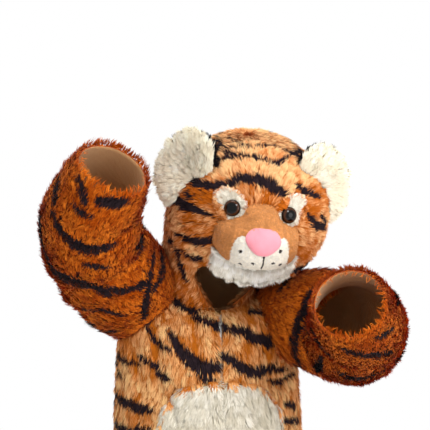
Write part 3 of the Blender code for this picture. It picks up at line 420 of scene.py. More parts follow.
BACK_STRIPES = stripe_rows("""
-100 -30 4  -72 -44 8  -30 -38 5  4 -44 3
20 -34 3  62 -50 8  104 -44 5
-132 -88 5  -90 -104 8  -40 -92 6  -8 -100 3
4 -86 4  44 -98 9  88 -90 6  130 -102 4
-142 -146 5  -104 -152 7  -64 -142 3
-48 -150 3  -12 -158 8  30 -148 6  56 -154 3
74 -144 4  108 -156 8  142 -150 5
-146 -206 6  -98 -220 9  -46 -208 6  -6 -216 3
10 -200 3  50 -214 9  100 -206 6  146 -214 4
-148 -262 5  -110 -274 7  -76 -266 3
-58 -262 3  -14 -276 9  36 -264 6  66 -270 3
150 -262 5  118 -276 8  86 -268 3
-152 -326 6  -104 -338 9  -52 -326 6  -12 -334 3
8 -320 4  56 -334 9  104 -324 6  152 -330 5
-154 -386 5  -110 -396 8  -66 -386 3
-44 -386 3  2 -400 9  48 -388 4
154 -384 5  112 -398 8  72 -390 3
-154 -444 6  -104 -456 9  -46 -446 5
154 -440 6  106 -456 9  40 -448 5
-150 -502 5  -102 -514 9  -50 -506 4
24 -500 5  74 -512 9  130 -502 5
-22 -556 4  -72 -570 9  -128 -560 5
148 -560 6  100 -574 9  46 -564 4
-148 -618 6  -104 -630 9  -52 -622 4
24 -616 5  74 -630 9  128 -620 4
-24 -676 4  -72 -690 9  -124 -682 4
144 -676 6  100 -690 9  50 -682 4
-142 -734 6  -96 -746 9  -50 -738 4
26 -732 5  72 -746 9  122 -736 4
-30 -792 4  -74 -804 9  -122 -796 4
138 -790 6  94 -804 9  48 -796 4
""")

# Stripes on the sleeves: thousandths of a turn round the sleeve from its top, thousandths of
# its length, and half width in millimetres
SLEEVE_STRIPES = {
    "right": stripe_rows("""
812 511 4  760 517 5  726 501 6  700 463 6  674 429 6  640 323 5
289 844 5  379 816 7  455 800 8  540 812 5
470 743 3  500 738 5  550 727 3
300 720 7  369 672 9  481 668 9  547 631 7  583 579 5
590 605 5  640 550 6  700 490 5
480 528 4  530 505 5  557 483 4  600 435 3
327 906 3  370 900 5  400 908 3
400 964 7  440 972 9  490 985 7
290 985 5  330 950 6  360 930 3
180 900 6  230 880 7  265 862 5
230 770 8  270 745 9  300 720 7
640 860 4  690 840 8  760 846 6  830 830 3
880 900 4  960 880 8  1040 892 6  1090 880 3
660 740 4  740 722 9  820 730 7  900 712 3
970 790 4  1050 770 8  1140 784 5
700 640 4  780 622 8  850 636 5
930 660 4  1010 640 9  1100 650 7  1190 630 4
880 545 4  960 530 8  1050 540 4
1110 520 4  1180 500 9  1270 515 6  1340 490 4
700 430 3  780 415 7  860 430 4
940 420 4  1030 400 9  1120 415 4
480 400 3  420 385 7  350 400 4
540 320 3  480 300 7  400 310 4
850 320 3  930 300 7  1040 315 4
"""),
    "left": stripe_rows("""
480 950 3  529 922 5  581 898 6  633 862 4
615 962 3  645 945 5  685 928 3
780 930 4  830 890 8  880 850 7  900 800 3
900 960 3  930 900 6  950 850 3
80 560 6  130 552 8  212 561 8  299 553 7  400 545 4
369 812 3  372 740 6  369 676 3
100 680 4  180 690 7  260 676 6  320 690 3
60 790 3  130 800 7  220 784 6  290 800 3
40 900 4  120 910 7  210 896 4
300 930 3  370 900 6  420 890 3
440 790 3  510 770 7  590 780 4
640 760 4  720 742 8  800 752 5
500 660 4  580 645 8  680 660 5
740 640 4  820 620 8  910 636 5
560 540 4  650 525 8  740 540 4
820 500 4  900 485 9  990 500 4
440 440 4  520 425 7  600 440 4
680 420 3  780 400 8  880 415 4
960 400 4  1050 380 8  1150 400 4
860 300 4  960 285 7  1060 300 3
"""),
}

# Stripes on the hood: bearing in degrees from its front, then level in its frame and half
# width in millimetres
HOOD_STRIPES = stripe_rows("""
-90 102 3  -76 104 5  -66 100 4
50 112 4  58 107 6  66 99 5
-96 112 1  -60 112 2  -10 116 2  30 116 2  50 112 1
-62 104 1  -48 110 2  -18 114 1
-58 90 3  -36 104 4  -9 107 3  14 101 1
-32 72 5  -21 83 7  -8 85 8  6 81 8  21 66 5
-76 60 5  -64 56 7  -49 59 6  -28 71 6
-82 12 4  -66 16 8  -47 21 5  -33 20 2
-64 -32 3  -52 -30 5  -41 -25 6  -28 -12 4
-54 -57 3  -44 -58 4  -36 -54 4
-62 -56 4  -54 -76 5  -42 -96 6
34 78 5  47 65 5  56 60 3
34 49 2  41 34 4  50 18 6  66 9 5
56 30 3  66 12 4
42 -58 5  52 -60 8  62 -58 6
-112 36 3  -96 30 8  -86 34 3
-130 70 3  -148 78 7  -172 72 5  -186 78 3
126 74 3  144 82 7  164 74 4
-118 0 3  -138 -8 8  -162 0 6  -180 -8 3
118 6 3  138 -4 8  164 6 5
-104 -36 4  -128 -46 8  -150 -38 4
92 -26 4  116 -40 8  140 -34 4
-160 36 3  176 28 9  152 36 4
-150 100 3  180 106 6  150 100 3
-172 -50 3  170 -60 8  150 -54 4
-92 -78 4  -116 -86 7  -140 -78 3
84 -76 4  108 -86 7  134 -80 3
88 30 3  104 20 7  118 32 3
""", (1, 1000, 1000))

WHISKER_DOTS = (
    (-0.03, -0.001, 0.0027), (-0.025, -0.024, 0.0025), (-0.0095, -0.0175, 0.0027),
    (0.027, 0.007, 0.0027), (0.0195, -0.0135, 0.0027), (0.0315, -0.0165, 0.0025),
)
MOUTH_TOP = (0.004, -0.0015)
MOUTH_FOOT = (0.007, -0.029)
MOUTH_HALF_WIDTH = 0.0014


# Forms


def smoothstep(value):
    """0 below 0, 1 above 1, and a soft rise between."""
    value = np.clip(value, 0.0, 1.0)
    return value * value * (3.0 - 2.0 * value)


def spline_rows(rows, places):
    """Rows of a table read between its rows, by a Catmull-Rom spline; a place is 0 to 1."""
    table = np.array(rows, dtype=float)
    last = len(table) - 1
    steps = np.clip(np.asarray(places, dtype=float), 0.0, 1.0) * last
    low = np.minimum(steps.astype(int), last - 1)
    part = (steps - low)[..., None]
    before = table[np.maximum(low - 1, 0)]
    start = table[low]
    end = table[low + 1]
    after = table[np.minimum(low + 2, last)]
    return 0.5 * (
        2.0 * start
        + (end - before) * part
        + (2.0 * before - 5.0 * start + 4.0 * end - after) * part ** 2
        + (3.0 * start - before - 3.0 * end + after) * part ** 3
    )


def read_table(columns, rows, places):
    """A table's named columns, read at places along it."""
    return dict(zip(columns, np.moveaxis(spline_rows(rows, places), -1, 0)))


def place_of(rows, value):
    """The place, 0 to 1, at which a table's first column has the value."""
    places = np.linspace(0.0, 1.0, 2001)
    first = spline_rows(rows, places)[:, 0]
    if first[0] > first[-1]:
        return np.interp(-np.asarray(value, dtype=float), -first, places)
    return np.interp(np.asarray(value, dtype=float), first, places)


def unit(vectors):
    """The vectors at a length of one."""
    length = np.linalg.norm(vectors, axis=-1, keepdims=True)
    return vectors / np.maximum(length, 1e-12)


def along_cloth(vectors, normals):
    """The part of the vectors that runs along the cloth."""
    return vectors - np.sum(vectors * normals, axis=-1, keepdims=True) * normals


def turned(first, second, angle):
    """Vectors turned from the first towards the second by an angle."""
    return np.cos(angle)[..., None] * first + np.sin(angle)[..., None] * second


def normals_of(surface, across, along):
    """Unit normals of a surface, by small steps in both directions."""
    step = 1e-3
    over = surface(np.minimum(across + step, 1.0), along)
    over = over - surface(np.maximum(across - step, 0.0), along)
    down = surface(across, np.minimum(along + step, 1.0))
    down = down - surface(across, np.maximum(along - step, 0.0))
    return unit(np.cross(over, down))


def fold_depth(points, face, folds):
    """How far the folds pull the cloth in at each point of one face of the jumpsuit."""
    depth = np.zeros(points.shape[:-1])
    flat = points[..., [0, 2]]
    for row in folds:
        fold = dict(zip(FOLD_COLUMNS, row))
        if fold["face"] != face:
            continue
        start = np.array((fold["x_from"], fold["z_from"]))
        run = np.array((fold["x_to"], fold["z_to"])) - start
        part = np.clip(((flat - start) @ run) / (run @ run), 0.0, 1.0)
        away = np.linalg.norm(flat - (start + part[..., None] * run), axis=-1)
        taper = np.sin(np.pi * (FOLD_END_SHARE + (1.0 - 2.0 * FOLD_END_SHARE) * part))
        depth = np.maximum(depth, fold["depth"] * taper * np.exp(-(away / fold["width"]) ** 2))
    return depth


def body_ring(side, face, across, along):
    """Points of the jumpsuit before its folds; across runs from the centre to the side seam."""
    row = read_table(BODY_COLUMNS, BODY_ROWS, along)
    leg_centre = np.maximum(row["leg_centre"], 0.0)
    inner_edge = np.maximum(row["inner_edge"], 0.0)
    reach = row["half_width"] - leg_centre
    start = np.arccos(np.clip((inner_edge - leg_centre) / reach, -1.0, 1.0))
    angle = start * (1.0 - across)
    x = leg_centre + reach * np.cos(angle)
    y = row["centre_y"] + face * row["half_depth"] * np.sin(angle)
    z = row["z"] + face * row["lean"] * np.sin(angle)
    fade = smoothstep((z - LIFT_FADES_TO) / (LIFT_FADES_FROM - LIFT_FADES_TO))
    z = z + SHOULDER_LIFT[side] * smoothstep((x - LIFT_FROM) / (LIFT_TO - LIFT_FROM)) * fade
    return np.stack((side * x, y, z), axis=-1)


def body_surface(side, face, lift=0.0):
    """The jumpsuit's outer surface on one of its four cuts, lifted or sunk by a distance."""
    def plain(across, along):
        return body_ring(side, face, across, along)

    def surface(across, along):
        base = plain(across, along)
        outward = normals_of(plain, across, along) * (side * face)
        clear = smoothstep(np.abs(base[..., 0]) / FOLD_CLEAR_OF_SEAM)
        depth = fold_depth(base, face, BODY_FOLDS) * clear + fold_depth(base, face, BODY_CREASES)
        return base - outward * (depth - lift)[..., None]
    return surface


def sleeve_surface(hand, lift=0.0):
    """The outer surface of a sleeve; across runs once round it, from its top."""
    rows = SLEEVE_ROWS[hand]

    def centre(along):
        row = read_table(SLEEVE_COLUMNS, rows, along)
        return np.stack((row["x"], row["y"], row["z"]), axis=-1)

    def surface(across, along):
        step = 1e-3
        way = centre(np.minimum(along + step, 1.0)) - centre(np.maximum(along - step, 0.0))
        way = unit(way)
        level = unit(np.cross(way, np.array((0.0, 0.0, 1.0))))
        top = np.cross(level, way)
        turn = across * 2.0 * np.pi
        radius = read_table(SLEEVE_COLUMNS, rows, along)["radius"]
        for fold_row in SLEEVE_FOLDS[hand]:
            fold = dict(zip(SLEEVE_FOLD_COLUMNS, fold_row))
            off = (across - fold["around"] + 0.5) % 1.0 - 0.5
            near = np.exp(-((along - fold["along"] - fold["slant"] * off) / fold["width"]) ** 2)
            radius = radius - fold["depth"] * near * np.exp(-(off / fold["span"]) ** 2)
        return centre(along) + (radius + lift)[..., None] * turned(top, level, turn)
    return surface


def sleeve_way(hand, points):
    """The direction towards the cuff at the part of a sleeve nearest each point."""
    places = np.linspace(0.0, 1.0, 60)
    line = spline_rows(SLEEVE_ROWS[hand], places)[:, :3]
    way = unit(np.gradient(line, axis=0))
    nearest = np.argmin(np.linalg.norm(points[:, None, :] - line[None], axis=-1), axis=1)
    return way[nearest]


def hood_frame():
    """The matrix from the hood's frame to the garment's."""
    turn = Matrix.Rotation(HOOD_TURN, 4, "Z")
    lean = Matrix.Rotation(HOOD_LEAN, 4, "X")
    tip = Matrix.Rotation(HOOD_TIP, 4, "Y")
    return Matrix.Translation(HOOD_CENTRE) @ turn @ lean @ tip


HOOD_MATRIX = np.array(hood_frame())


def from_hood(points):
    """Points of the hood's frame, in the garment's frame."""
    return points @ HOOD_MATRIX[:3, :3].T + HOOD_MATRIX[:3, 3]


def hood_way(directions):
    """Directions of the hood's frame, in the garment's frame, at a length of one."""
    return unit(directions) @ HOOD_MATRIX[:3, :3].T


def to_hood(points):
    """Points of the garment's frame, in the hood's."""
    return (points - HOOD_MATRIX[:3, 3]) @ HOOD_MATRIX[:3, :3]


def hood_ring(across, up):
    """Points of the hood's outer surface; across runs once round it, from the nape."""
    row = read_table(HOOD_COLUMNS, HOOD_ROWS, up)
    turn = across * 2.0 * np.pi
    wide = np.maximum(row["half_width"], 0.0)
    deep = np.maximum(row["half_depth"], 0.0)
    x = row["centre_x"] + wide * np.sin(turn)
    y = row["centre_y"] + deep * np.cos(turn)
    own = from_hood(np.stack((x, y, row["level"] + 0.0 * x), axis=-1))
    neck = dict(zip(BODY_COLUMNS, BODY_ROWS[0]))
    neck_x = neck["half_width"] * np.sin(turn)
    neck_y = neck["centre_y"] + neck["half_depth"] * np.cos(turn)
    neck_z = neck["z"] + neck["lean"] * np.cos(turn) + SEAM_GAP
    rise = row["level"] - HOOD_ROWS[0][0]
    collar = np.stack((neck_x * (1.0 + COLLAR_SPREAD * rise), neck_y, neck_z + rise), axis=-1)
    share = np.clip(row["own_form"], 0.0, 1.0)[..., None]
    return collar * (1.0 - share) + own * share


def hood_surface(lift):
    """The hood's surface, lifted or sunk by a distance."""
    def surface(across, up):
        outward = -normals_of(hood_ring, across, np.minimum(up, CROWN_PLACE))
        return hood_ring(across, up) + outward * lift
    return surface


def hood_front(x, level, out):
    """Points over the hood's front at places of its own frame, moved out from its surface."""
    up = place_of(HOOD_ROWS, level)
    row = read_table(HOOD_COLUMNS, HOOD_ROWS, up)
    side = np.clip((x - row["centre_x"]) / row["half_width"], -1.0, 1.0)
    across = 0.5 - np.arcsin(side) / (2 * np.pi)
    outward = -normals_of(hood_ring, across, up)
    return hood_ring(across, up) + outward * np.asarray(out)[..., None]


def muzzle_half_width(tall):
    """The muzzle's half width, drawn in between the eyes and filled out at the jowls."""
    waist = np.exp(-((tall - MUZZLE_WAIST_AT) / MUZZLE_WAIST_SPREAD) ** 2)
    fall = smoothstep(-tall / MUZZLE_JOWL_OVER)
    return MUZZLE_HALF_WIDTH * (1.0 - MUZZLE_WAIST * waist + MUZZLE_JOWL * fall)


def muzzle_share(x, level):
    """How far out from the middle of the muzzle's outline a place is: 1 at the edge."""
    tall = (level - MUZZLE_LEVEL) / MUZZLE_HALF_HEIGHT
    wide = np.abs(x) / muzzle_half_width(tall)
    return np.sqrt(wide ** 2 + tall ** 2)


def muzzle_front(x, level, out):
    """Points on the muzzle's dome, moved out from it."""
    share = np.minimum(muzzle_share(x, level), 1.0)
    depth = MUZZLE_REACH * np.sqrt(1.0 - share ** MUZZLE_FULLNESS)
    return from_hood(np.stack((x, MUZZLE_BACK - depth - out, level), axis=-1))


def front_line():
    """The height and the place along the cut of points down the middle of the front."""
    along = np.linspace(0.0, 1.0, 1501)
    return body_ring(1, -1, 0.0 * along, along)[:, 2], along


def channel_edge(along):
    """The front's middle edge: back from the zip along its length, then a plain seam."""
    heights, places = front_line()
    height = np.interp(along, places, heights)
    open_share = smoothstep((height - CHANNEL_END) / CHANNEL_CLOSES_OVER)
    return SEAM_GAP / 2 + (CHANNEL_HALF_WIDTH - SEAM_GAP / 2) * open_share


def seam_edge(along):
    """Half a seam's gap all along an edge."""
    return SEAM_GAP / 2 + 0.0 * along


def drawn_in(surface, across, along, first, last):
    """Places across a surface, drawn in from its two edges by real lengths."""
    over = np.linspace(0.0, 1.0, 33)
    run = surface(over[None, :] + 0.0 * along[:, None], along[:, None] + 0.0 * over[None, :])
    width = np.linalg.norm(np.diff(run, axis=1), axis=-1).sum(axis=1)
    return first / width + across * (1.0 - (first + last) / width)


def front_point(side, x, z, out):
    """A point on the jumpsuit's front at a width and a height, moved out from its folds."""
    heights, places = front_line()
    along = np.interp(-z, -heights, places)
    row = read_table(BODY_COLUMNS, BODY_ROWS, along)
    leg_centre = np.maximum(row["leg_centre"], 0.0)
    reach = row["half_width"] - leg_centre
    start = np.arccos(np.clip(-row["leg_centre"] / reach, -1.0, 1.0))
    angle = np.arccos(np.clip((x - leg_centre) / reach, -1.0, 1.0))
    across = np.clip(1.0 - angle / start, 0.0, 1.0)
    surface = body_surface(side, -1)
    outward = normals_of(surface, across, along) * (side * -1)
    return surface(across, along) + outward * np.asarray(out)[..., None]


# Mesh work


def select_only(item):
    """Make one object the active and only selected one."""
    bpy.ops.object.select_all(action="DESELECT")
    item.select_set(True)
    bpy.context.view_layer.objects.active = item


def read_each(things, name, kind=float, width=1):
    """One property of all of a mesh's points, corners or faces."""
    values = np.empty(len(things) * width, dtype=kind)
    things.foreach_get(name, values)
    return values


def coordinates(item):
    """A mesh's points, as rows of x, y and z."""
    return read_each(item.data.vertices, "co", width=3).reshape(-1, 3)


def move_points(item, points):
    """Put a mesh's points where they are given."""
    item.data.vertices.foreach_set("co", np.ascontiguousarray(points).ravel())
    item.data.update()


def apply_modifier(item, kind, **settings):
    """Add a modifier, set it and apply it."""
    select_only(item)
    made = item.modifiers.new(kind.title(), kind)
    for name, value in settings.items():
        setattr(made, name, value)
    bpy.ops.object.modifier_apply(modifier=made.name)


def in_edit_mode(item, step, **settings):
    """Run an edit-mode operator on everything in one mesh."""
    select_only(item)
    bpy.ops.object.mode_set(mode="EDIT")
    bpy.ops.mesh.select_all(action="SELECT")
    step(**settings)
    bpy.ops.object.mode_set(mode="OBJECT")


def face_outwards(item):
    in_edit_mode(item, bpy.ops.mesh.normals_make_consistent, inside=False)


def name_piece(item, name):
    item.name = name
    item.data.name = name
    return item


def new_piece(name, add, **settings):
    """A primitive, added with nothing else selected."""
    bpy.ops.object.select_all(action="DESELECT")
    add(**settings)
    return name_piece(bpy.context.object, name)


def place_mesh(name, data):
    """An object for a mesh."""
    item = bpy.data.objects.new(name, data)
    bpy.context.scene.collection.objects.link(item)
    return item


def two_slots(data):
    """One slot for a piece's outer face, and one for its inner or back face."""
    while len(data.materials) < 2:
        data.materials.append(None)


def finish_both(item, material):
    for place in range(2):
        item.data.materials[place] = material


def give_finish(item, material):
    item.data.materials.clear()
    item.data.materials.append(material)


def set_slots(data, slots):
    data.polygons.foreach_set("material_index", slots)


def shade_smooth(item, angle=None):
    select_only(item)
    if angle is None:
        bpy.ops.object.shade_smooth()
    else:
        bpy.ops.object.shade_smooth_by_angle(angle=math.radians(angle))


def grid_on(name, surface, cells, facing=1, edges=None, merged=False, pole=False):
    """A grid laid on a surface, with its faces turned outwards; a pole closes its far end."""
    item = new_piece(name, bpy.ops.mesh.primitive_grid_add, size=1.0,
                     x_subdivisions=cells[0], y_subdivisions=cells[1])
    across, along = np.clip(coordinates(item)[:, :2] + 0.5, 0.0, 1.0).T
    if edges:
        across = drawn_in(surface, across, along, edges[0](along), edges[1](along))
    if merged:
        across = np.where(across > 0.9999, 0.0, across)
    if pole:
        across = np.where(along > 0.9999, 0.0, across)
    move_points(item, surface(across, along))
    if merged:
        in_edit_mode(item, bpy.ops.mesh.remove_doubles, threshold=1e-6)
    if facing < 0:
        in_edit_mode(item, bpy.ops.mesh.flip_normals)
    return item


def give_wall(item, thick):
    """Give a cloth its thickness, inwards; the inner wall takes the second slot."""
    two_slots(item.data)
    apply_modifier(item, "SOLIDIFY", thickness=thick, offset=-1.0, use_rim=True,
                   material_offset=1, material_offset_rim=0)


def cut_by(item, guide, operation="DIFFERENCE"):
    """Cut a piece with a guide, found by its name."""
    apply_modifier(item, "BOOLEAN", object=bpy.data.objects[guide], operation=operation,
                   solver="EXACT")


def sewn(name, surface, cells, guides=(), wall=None, **laid):
    """A cloth laid on a surface, with its wall, and trimmed by its guides."""
    cloth = grid_on(name, surface, cells, **laid)
    give_wall(cloth, wall or sizes().wall)
    for guide in guides:
        cut_by(cloth, guide)
    shade_smooth(cloth)
    return cloth


def as_guide(item):
    """A guide's faces take the second slot, and it is deleted before the end."""
    two_slots(item.data)
    set_slots(item.data, [1] * len(item.data.polygons))
    face_outwards(item)
    item["guide"] = True
    return item


def drop_guides():
    for item in [item for item in bpy.data.objects if item.get("guide")]:
        bpy.data.objects.remove(item, do_unlink=True)


def loops_guide(name, loops):
    """A closed guide through rings of points, with both ends filled."""
    size = len(loops[0])
    points = np.concatenate(loops)
    faces = [list(range(size)), list(range(len(points) - size, len(points)))]
    for ring in range(len(loops) - 1):
        for low in range(size):
            high = (low + 1) % size
            base = ring * size
            faces.append((base + low, base + high, base + size + high, base + size + low))
    data = bpy.data.meshes.new(name)
    data.from_pydata(points.tolist(), [], faces)
    return as_guide(place_mesh(name, data))


def prism_guide(name, outline, direction):
    """A guide from a flat outline of the hood's frame, run along a direction."""
    near = np.array(outline, dtype=float)
    return loops_guide(name, [from_hood(near), from_hood(near + np.array(direction, dtype=float))])


# Pile


class Lattice:
    """Smooth noise in space, the same on every run."""

    def __init__(self, seed, size):
        self.values = np.random.default_rng(seed).random((32, 32, 32))
        self.size = size

    def __call__(self, points):
        steps = points / self.size
        low = np.floor(steps).astype(int)
        part = steps - low
        part = part * part * (3.0 - 2.0 * part)
        total = 0.0
        for corner in range(8):
            bits = np.array([(corner >> axis) & 1 for axis in range(3)])
            at = (low + bits) % 32
            weight = np.prod(np.where(bits, part, 1.0 - part), axis=-1)
            total = total + self.values[at[..., 0], at[..., 1], at[..., 2]] * weight
        return total


def outer_triangles(item):
    """The corners of a cloth's outer triangles."""
    item.data.calc_loop_triangles()
    triangles = item.data.loop_triangles
    corners = read_each(triangles, "vertices", int, 3).reshape(-1, 3)
    slots = read_each(item.data.polygons, "material_index", int)
    return corners[slots[read_each(triangles, "polygon_index", int)] == 0]


def scatter(item, count, seed, weigh=None, favour=0.0):
    """Roots spread over a cloth's outer face, the cloth's normal at each and the room it has."""
    rng = np.random.default_rng(seed)
    points = coordinates(item)
    corners = outer_triangles(item)
    a, b, c = points[corners].transpose(1, 0, 2)
    cross = np.cross(b - a, c - a)
    area = np.linalg.norm(cross, axis=-1) / 2
    keep = area > 1e-12
    a, b, c, cross, area, corners = (part[keep] for part in (a, b, c, cross, area, corners))
    closeness = (weigh((a + b + c) / 3) if weigh else 1.0) * np.ones(len(area))
    facing = unit(cross) @ ONLOOKER
    closeness = closeness * (1.0 + favour * smoothstep((facing + 0.15) / 0.4))
    weight = area * closeness
    room = np.sqrt((weight.sum() / area.sum()) / np.maximum(closeness, 1e-3))
    total = np.cumsum(weight)
    picks = (np.arange(count) + rng.random(count)) / count * total[-1]
    pick = np.minimum(np.searchsorted(total, picks), len(area) - 1)
    u, v = rng.random(count), rng.random(count)
    over = u + v > 1.0
    u[over], v[over] = 1.0 - u[over], 1.0 - v[over]
    roots = a[pick] + u[:, None] * (b - a)[pick] + v[:, None] * (c - a)[pick]
    smooth = np.zeros_like(points)
    for corner in range(3):
        np.add.at(smooth, corners[:, corner], cross)
    smooth = unit(smooth)
    normal = (smooth[corners[pick, 0]] * (1 - u - v)[:, None]
              + smooth[corners[pick, 1]] * u[:, None] + smooth[corners[pick, 2]] * v[:, None])
    return roots, unit(normal), np.clip(room[pick], 0.6, 1.6)


def dye_points(data, name, shades):
    """Give each point of a mesh its own colour."""
    made = data.color_attributes.new(name, "FLOAT_COLOR", "POINT")
    made.data.foreach_set("color", shades.ravel())


def comb_pile(name, roots, normals, comb, colour, length, lie, half_width, lock, pull, seed,
              swing=0.3, stretch=(1.0, 1.0, 1.0)):
    """A joined mesh of strands, each a bent blade of two triangles, drawn together in locks.

    The comb gives the way that the strands lie at each root, and the lie is their angle from
    the cloth in radians. The colour function gives the dye at places of the strands."""
    rng = np.random.default_rng(seed)
    count = len(roots)
    way = unit(along_cloth(comb, normals) + 1e-9)
    side = np.cross(normals, way)
    warp = Lattice(seed + 1, lock * 2.2)
    shift = np.stack([warp(roots + offset) for offset in (0.0, 0.37, 0.71)], axis=-1) - 0.5
    cell = np.floor((roots + shift * lock * 1.4) * stretch / lock).astype(np.int64) + 4096
    key = (cell[:, 0] * 8192 + cell[:, 1]) * 8192 + cell[:, 2]
    _, group, members = np.unique(key, return_inverse=True, return_counts=True)
    groups = len(members)
    lock_swing = rng.normal(0.0, swing, groups)[group]
    lock_lie = rng.normal(0.0, 0.1, groups)[group]
    lock_length = rng.uniform(0.82, 1.18, groups)[group]
    turn = lock_swing + rng.normal(0.0, 0.16, count)
    rise = np.clip(lie + lock_lie + rng.normal(0.0, 0.1, count), 0.06, 1.5)
    reach = length * lock_length * rng.uniform(0.8, 1.1, count)
    own_tip = roots + reach[:, None] * turned(turned(way, side, turn), normals, rise)
    mean = np.stack([np.bincount(group, own_tip[:, axis], groups) for axis in range(3)], axis=-1)
    mean = mean / members[:, None]
    draw = pull * rng.uniform(0.55, 1.0, count)[:, None]
    tips = own_tip + draw * (mean[group] - own_tip)
    middle = roots + 0.48 * (tips - roots) + normals * (reach * 0.13)[:, None]
    axis = unit(tips - roots)
    across = unit(np.cross(axis, normals))
    out = np.cross(across, axis)
    wide = turned(across, out, rng.normal(0.0, 0.35, count))
    half = (half_width * rng.uniform(0.75, 1.25, count))[:, None]
    points = np.stack((roots, middle - wide * half, middle + wide * half, tips), axis=1)
    first = np.cross(points[:, 2] - points[:, 0], points[:, 1] - points[:, 0])
    inside_out = np.sum(first * normals, axis=-1) < 0.0
    points[inside_out] = points[inside_out][:, [0, 2, 1, 3]]
    base = (np.arange(count) * 4)[:, None]
    corners = np.concatenate((base + (0, 2, 1), base + (1, 2, 3)), axis=1).ravel()
    data = bpy.data.meshes.new(name)
    data.vertices.add(count * 4)
    data.vertices.foreach_set("co", points.ravel())
    data.loops.add(len(corners))
    data.loops.foreach_set("vertex_index", corners)
    data.polygons.add(count * 2)
    data.polygons.foreach_set("loop_start", np.arange(count * 2) * 3)
    data.polygons.foreach_set("use_smooth", np.ones(count * 2, dtype=bool))
    data.update(calc_edges=True)

    sample = roots + 0.8 * along_cloth(tips - roots, normals)
    tone = rng.normal(0.0, 1.0, groups)[group] * 0.75 + rng.normal(0.0, 1.0, count) * 0.7
    root_dye, tip_dye = colour(sample, tone, rng)
    middle_dye = root_dye * 0.45 + tip_dye * 0.55
    # Painted shade: each strand's root takes its dye darkened, for the shade deep in the pile.
    shades = np.ones((count, 4, 4))
    shades[..., :3] = np.stack((root_dye * 0.84, middle_dye, middle_dye, tip_dye), axis=1)
    dye_points(data, "pile_dye", shades)

    columns = math.ceil(math.sqrt(count * 2))
    size = np.array((1.0 / columns, 1.0 / math.ceil(count / columns)))
    cells = np.stack((np.arange(count) % columns, np.arange(count) // columns), axis=-1)
    spots = np.array(((0.5, 0.06), (0.08, 0.5), (0.92, 0.5), (0.5, 0.94)))
    places = ((cells[:, None] + spots) * size).reshape(-1, 2)
    chart = data.uv_layers.new(name="OFBake")
    chart.data.foreach_set("uv", places[corners].ravel())

    soft = unit(normals * 0.62 + out * 0.38)
    data.normals_split_custom_set_from_vertices(np.repeat(soft, 4, axis=0))
    data.materials.append(pile_finish("pile"))
    return place_mesh(name, data)


def stripe_mask(sample, stripes, rng, soft=0.0014):
    """Which strands a stripe dyes: distance to each route in space, with a combed edge."""
    nearest = np.full(len(sample), 1e3)
    for route in stripes:
        reach = route[:, 3].max() + 4 * soft
        close = np.all((sample > route[:, :3].min(axis=0) - reach)
                       & (sample < route[:, :3].max(axis=0) + reach), axis=1)
        here = sample[close]
        if not len(here):
            continue
        best = np.full(len(here), 1e3)
        for start, end in zip(route, route[1:]):
            run = end[:3] - start[:3]
            part = np.clip(((here - start[:3]) @ run) / max(run @ run, 1e-12), 0.0, 1.0)
            away = np.linalg.norm(here - start[:3] - part[:, None] * run, axis=-1)
            half = STRIPE_FULLNESS * (start[3] + part * (end[3] - start[3]))
            best = np.minimum(best, away - half)
        nearest[close] = np.minimum(nearest[close], best)
    return nearest + rng.normal(0.0, soft, len(sample)) < 0.0


def fine_route(rows, steps=6):
    """A stripe's table read at short steps."""
    places = np.linspace(0.0, 1.0, (len(rows) - 1) * steps + 1)
    return spline_rows(rows, places)


def routes_on_body(cloths, tables):
    """The jumpsuit's stripes, laid on the cloth of its panels."""
    points = np.concatenate([coordinates(item) for item in cloths])
    routes = []
    for table in tables:
        row = fine_route(table)
        away = np.linalg.norm(points[None, :, [0, 2]] - row[:, None, :2], axis=-1)
        y = points[np.argmin(away, axis=1), 1]
        half = BODY_STRIPE_FULLNESS * row[:, 2]
        routes.append(np.stack((row[:, 0], y, row[:, 1], half), axis=-1))
    return routes


def routes_on_sleeve(hand):
    """A sleeve's stripes, laid on its cloth."""
    surface = sleeve_surface(hand, -sizes().sink)
    routes = []
    for table in SLEEVE_STRIPES[hand]:
        row = fine_route(table)
        points = surface(row[:, 0] % 1.0, row[:, 1])
        routes.append(np.concatenate((points, row[:, 2:]), axis=1))
    return routes


def routes_on_hood():
    """The hood's stripes, laid on its cloth."""
    routes = []
    for table in HOOD_STRIPES:
        row = fine_route(table)
        across = (0.5 - row[:, 0] / 360.0) % 1.0
        points = hood_surface(-sizes().sink)(across, place_of(HOOD_ROWS, row[:, 1]))
        routes.append(np.concatenate((points, row[:, 2:]), axis=1))
    return routes


# Shader work


class Value:
    """A socket that Python's signs work on, by adding Math nodes."""

    def __init__(self, tree, socket):
        self.tree = tree
        self.socket = socket

    def _sum(self, kind, first, second):
        made = self.tree.node("ShaderNodeMath", {"operation": kind}, {0: first, 1: second})
        return made.out()

    def __add__(self, other):
        return self._sum("ADD", self, other)

    __radd__ = __add__

    def __sub__(self, other):
        return self._sum("SUBTRACT", self, other)

    def __rsub__(self, other):
        return self._sum("SUBTRACT", other, self)

    def __mul__(self, other):
        return self._sum("MULTIPLY", self, other)

    __rmul__ = __mul__

    def __truediv__(self, other):
        return self._sum("DIVIDE", self, other)

    def __pow__(self, other):
        return self._sum("POWER", self, other)


class Node:
    """A node, whose outputs are read by name or place."""

    def __init__(self, tree, node):
        self.tree = tree
        self.node = node

    def out(self, name=0):
        return Value(self.tree, self.node.outputs[name])


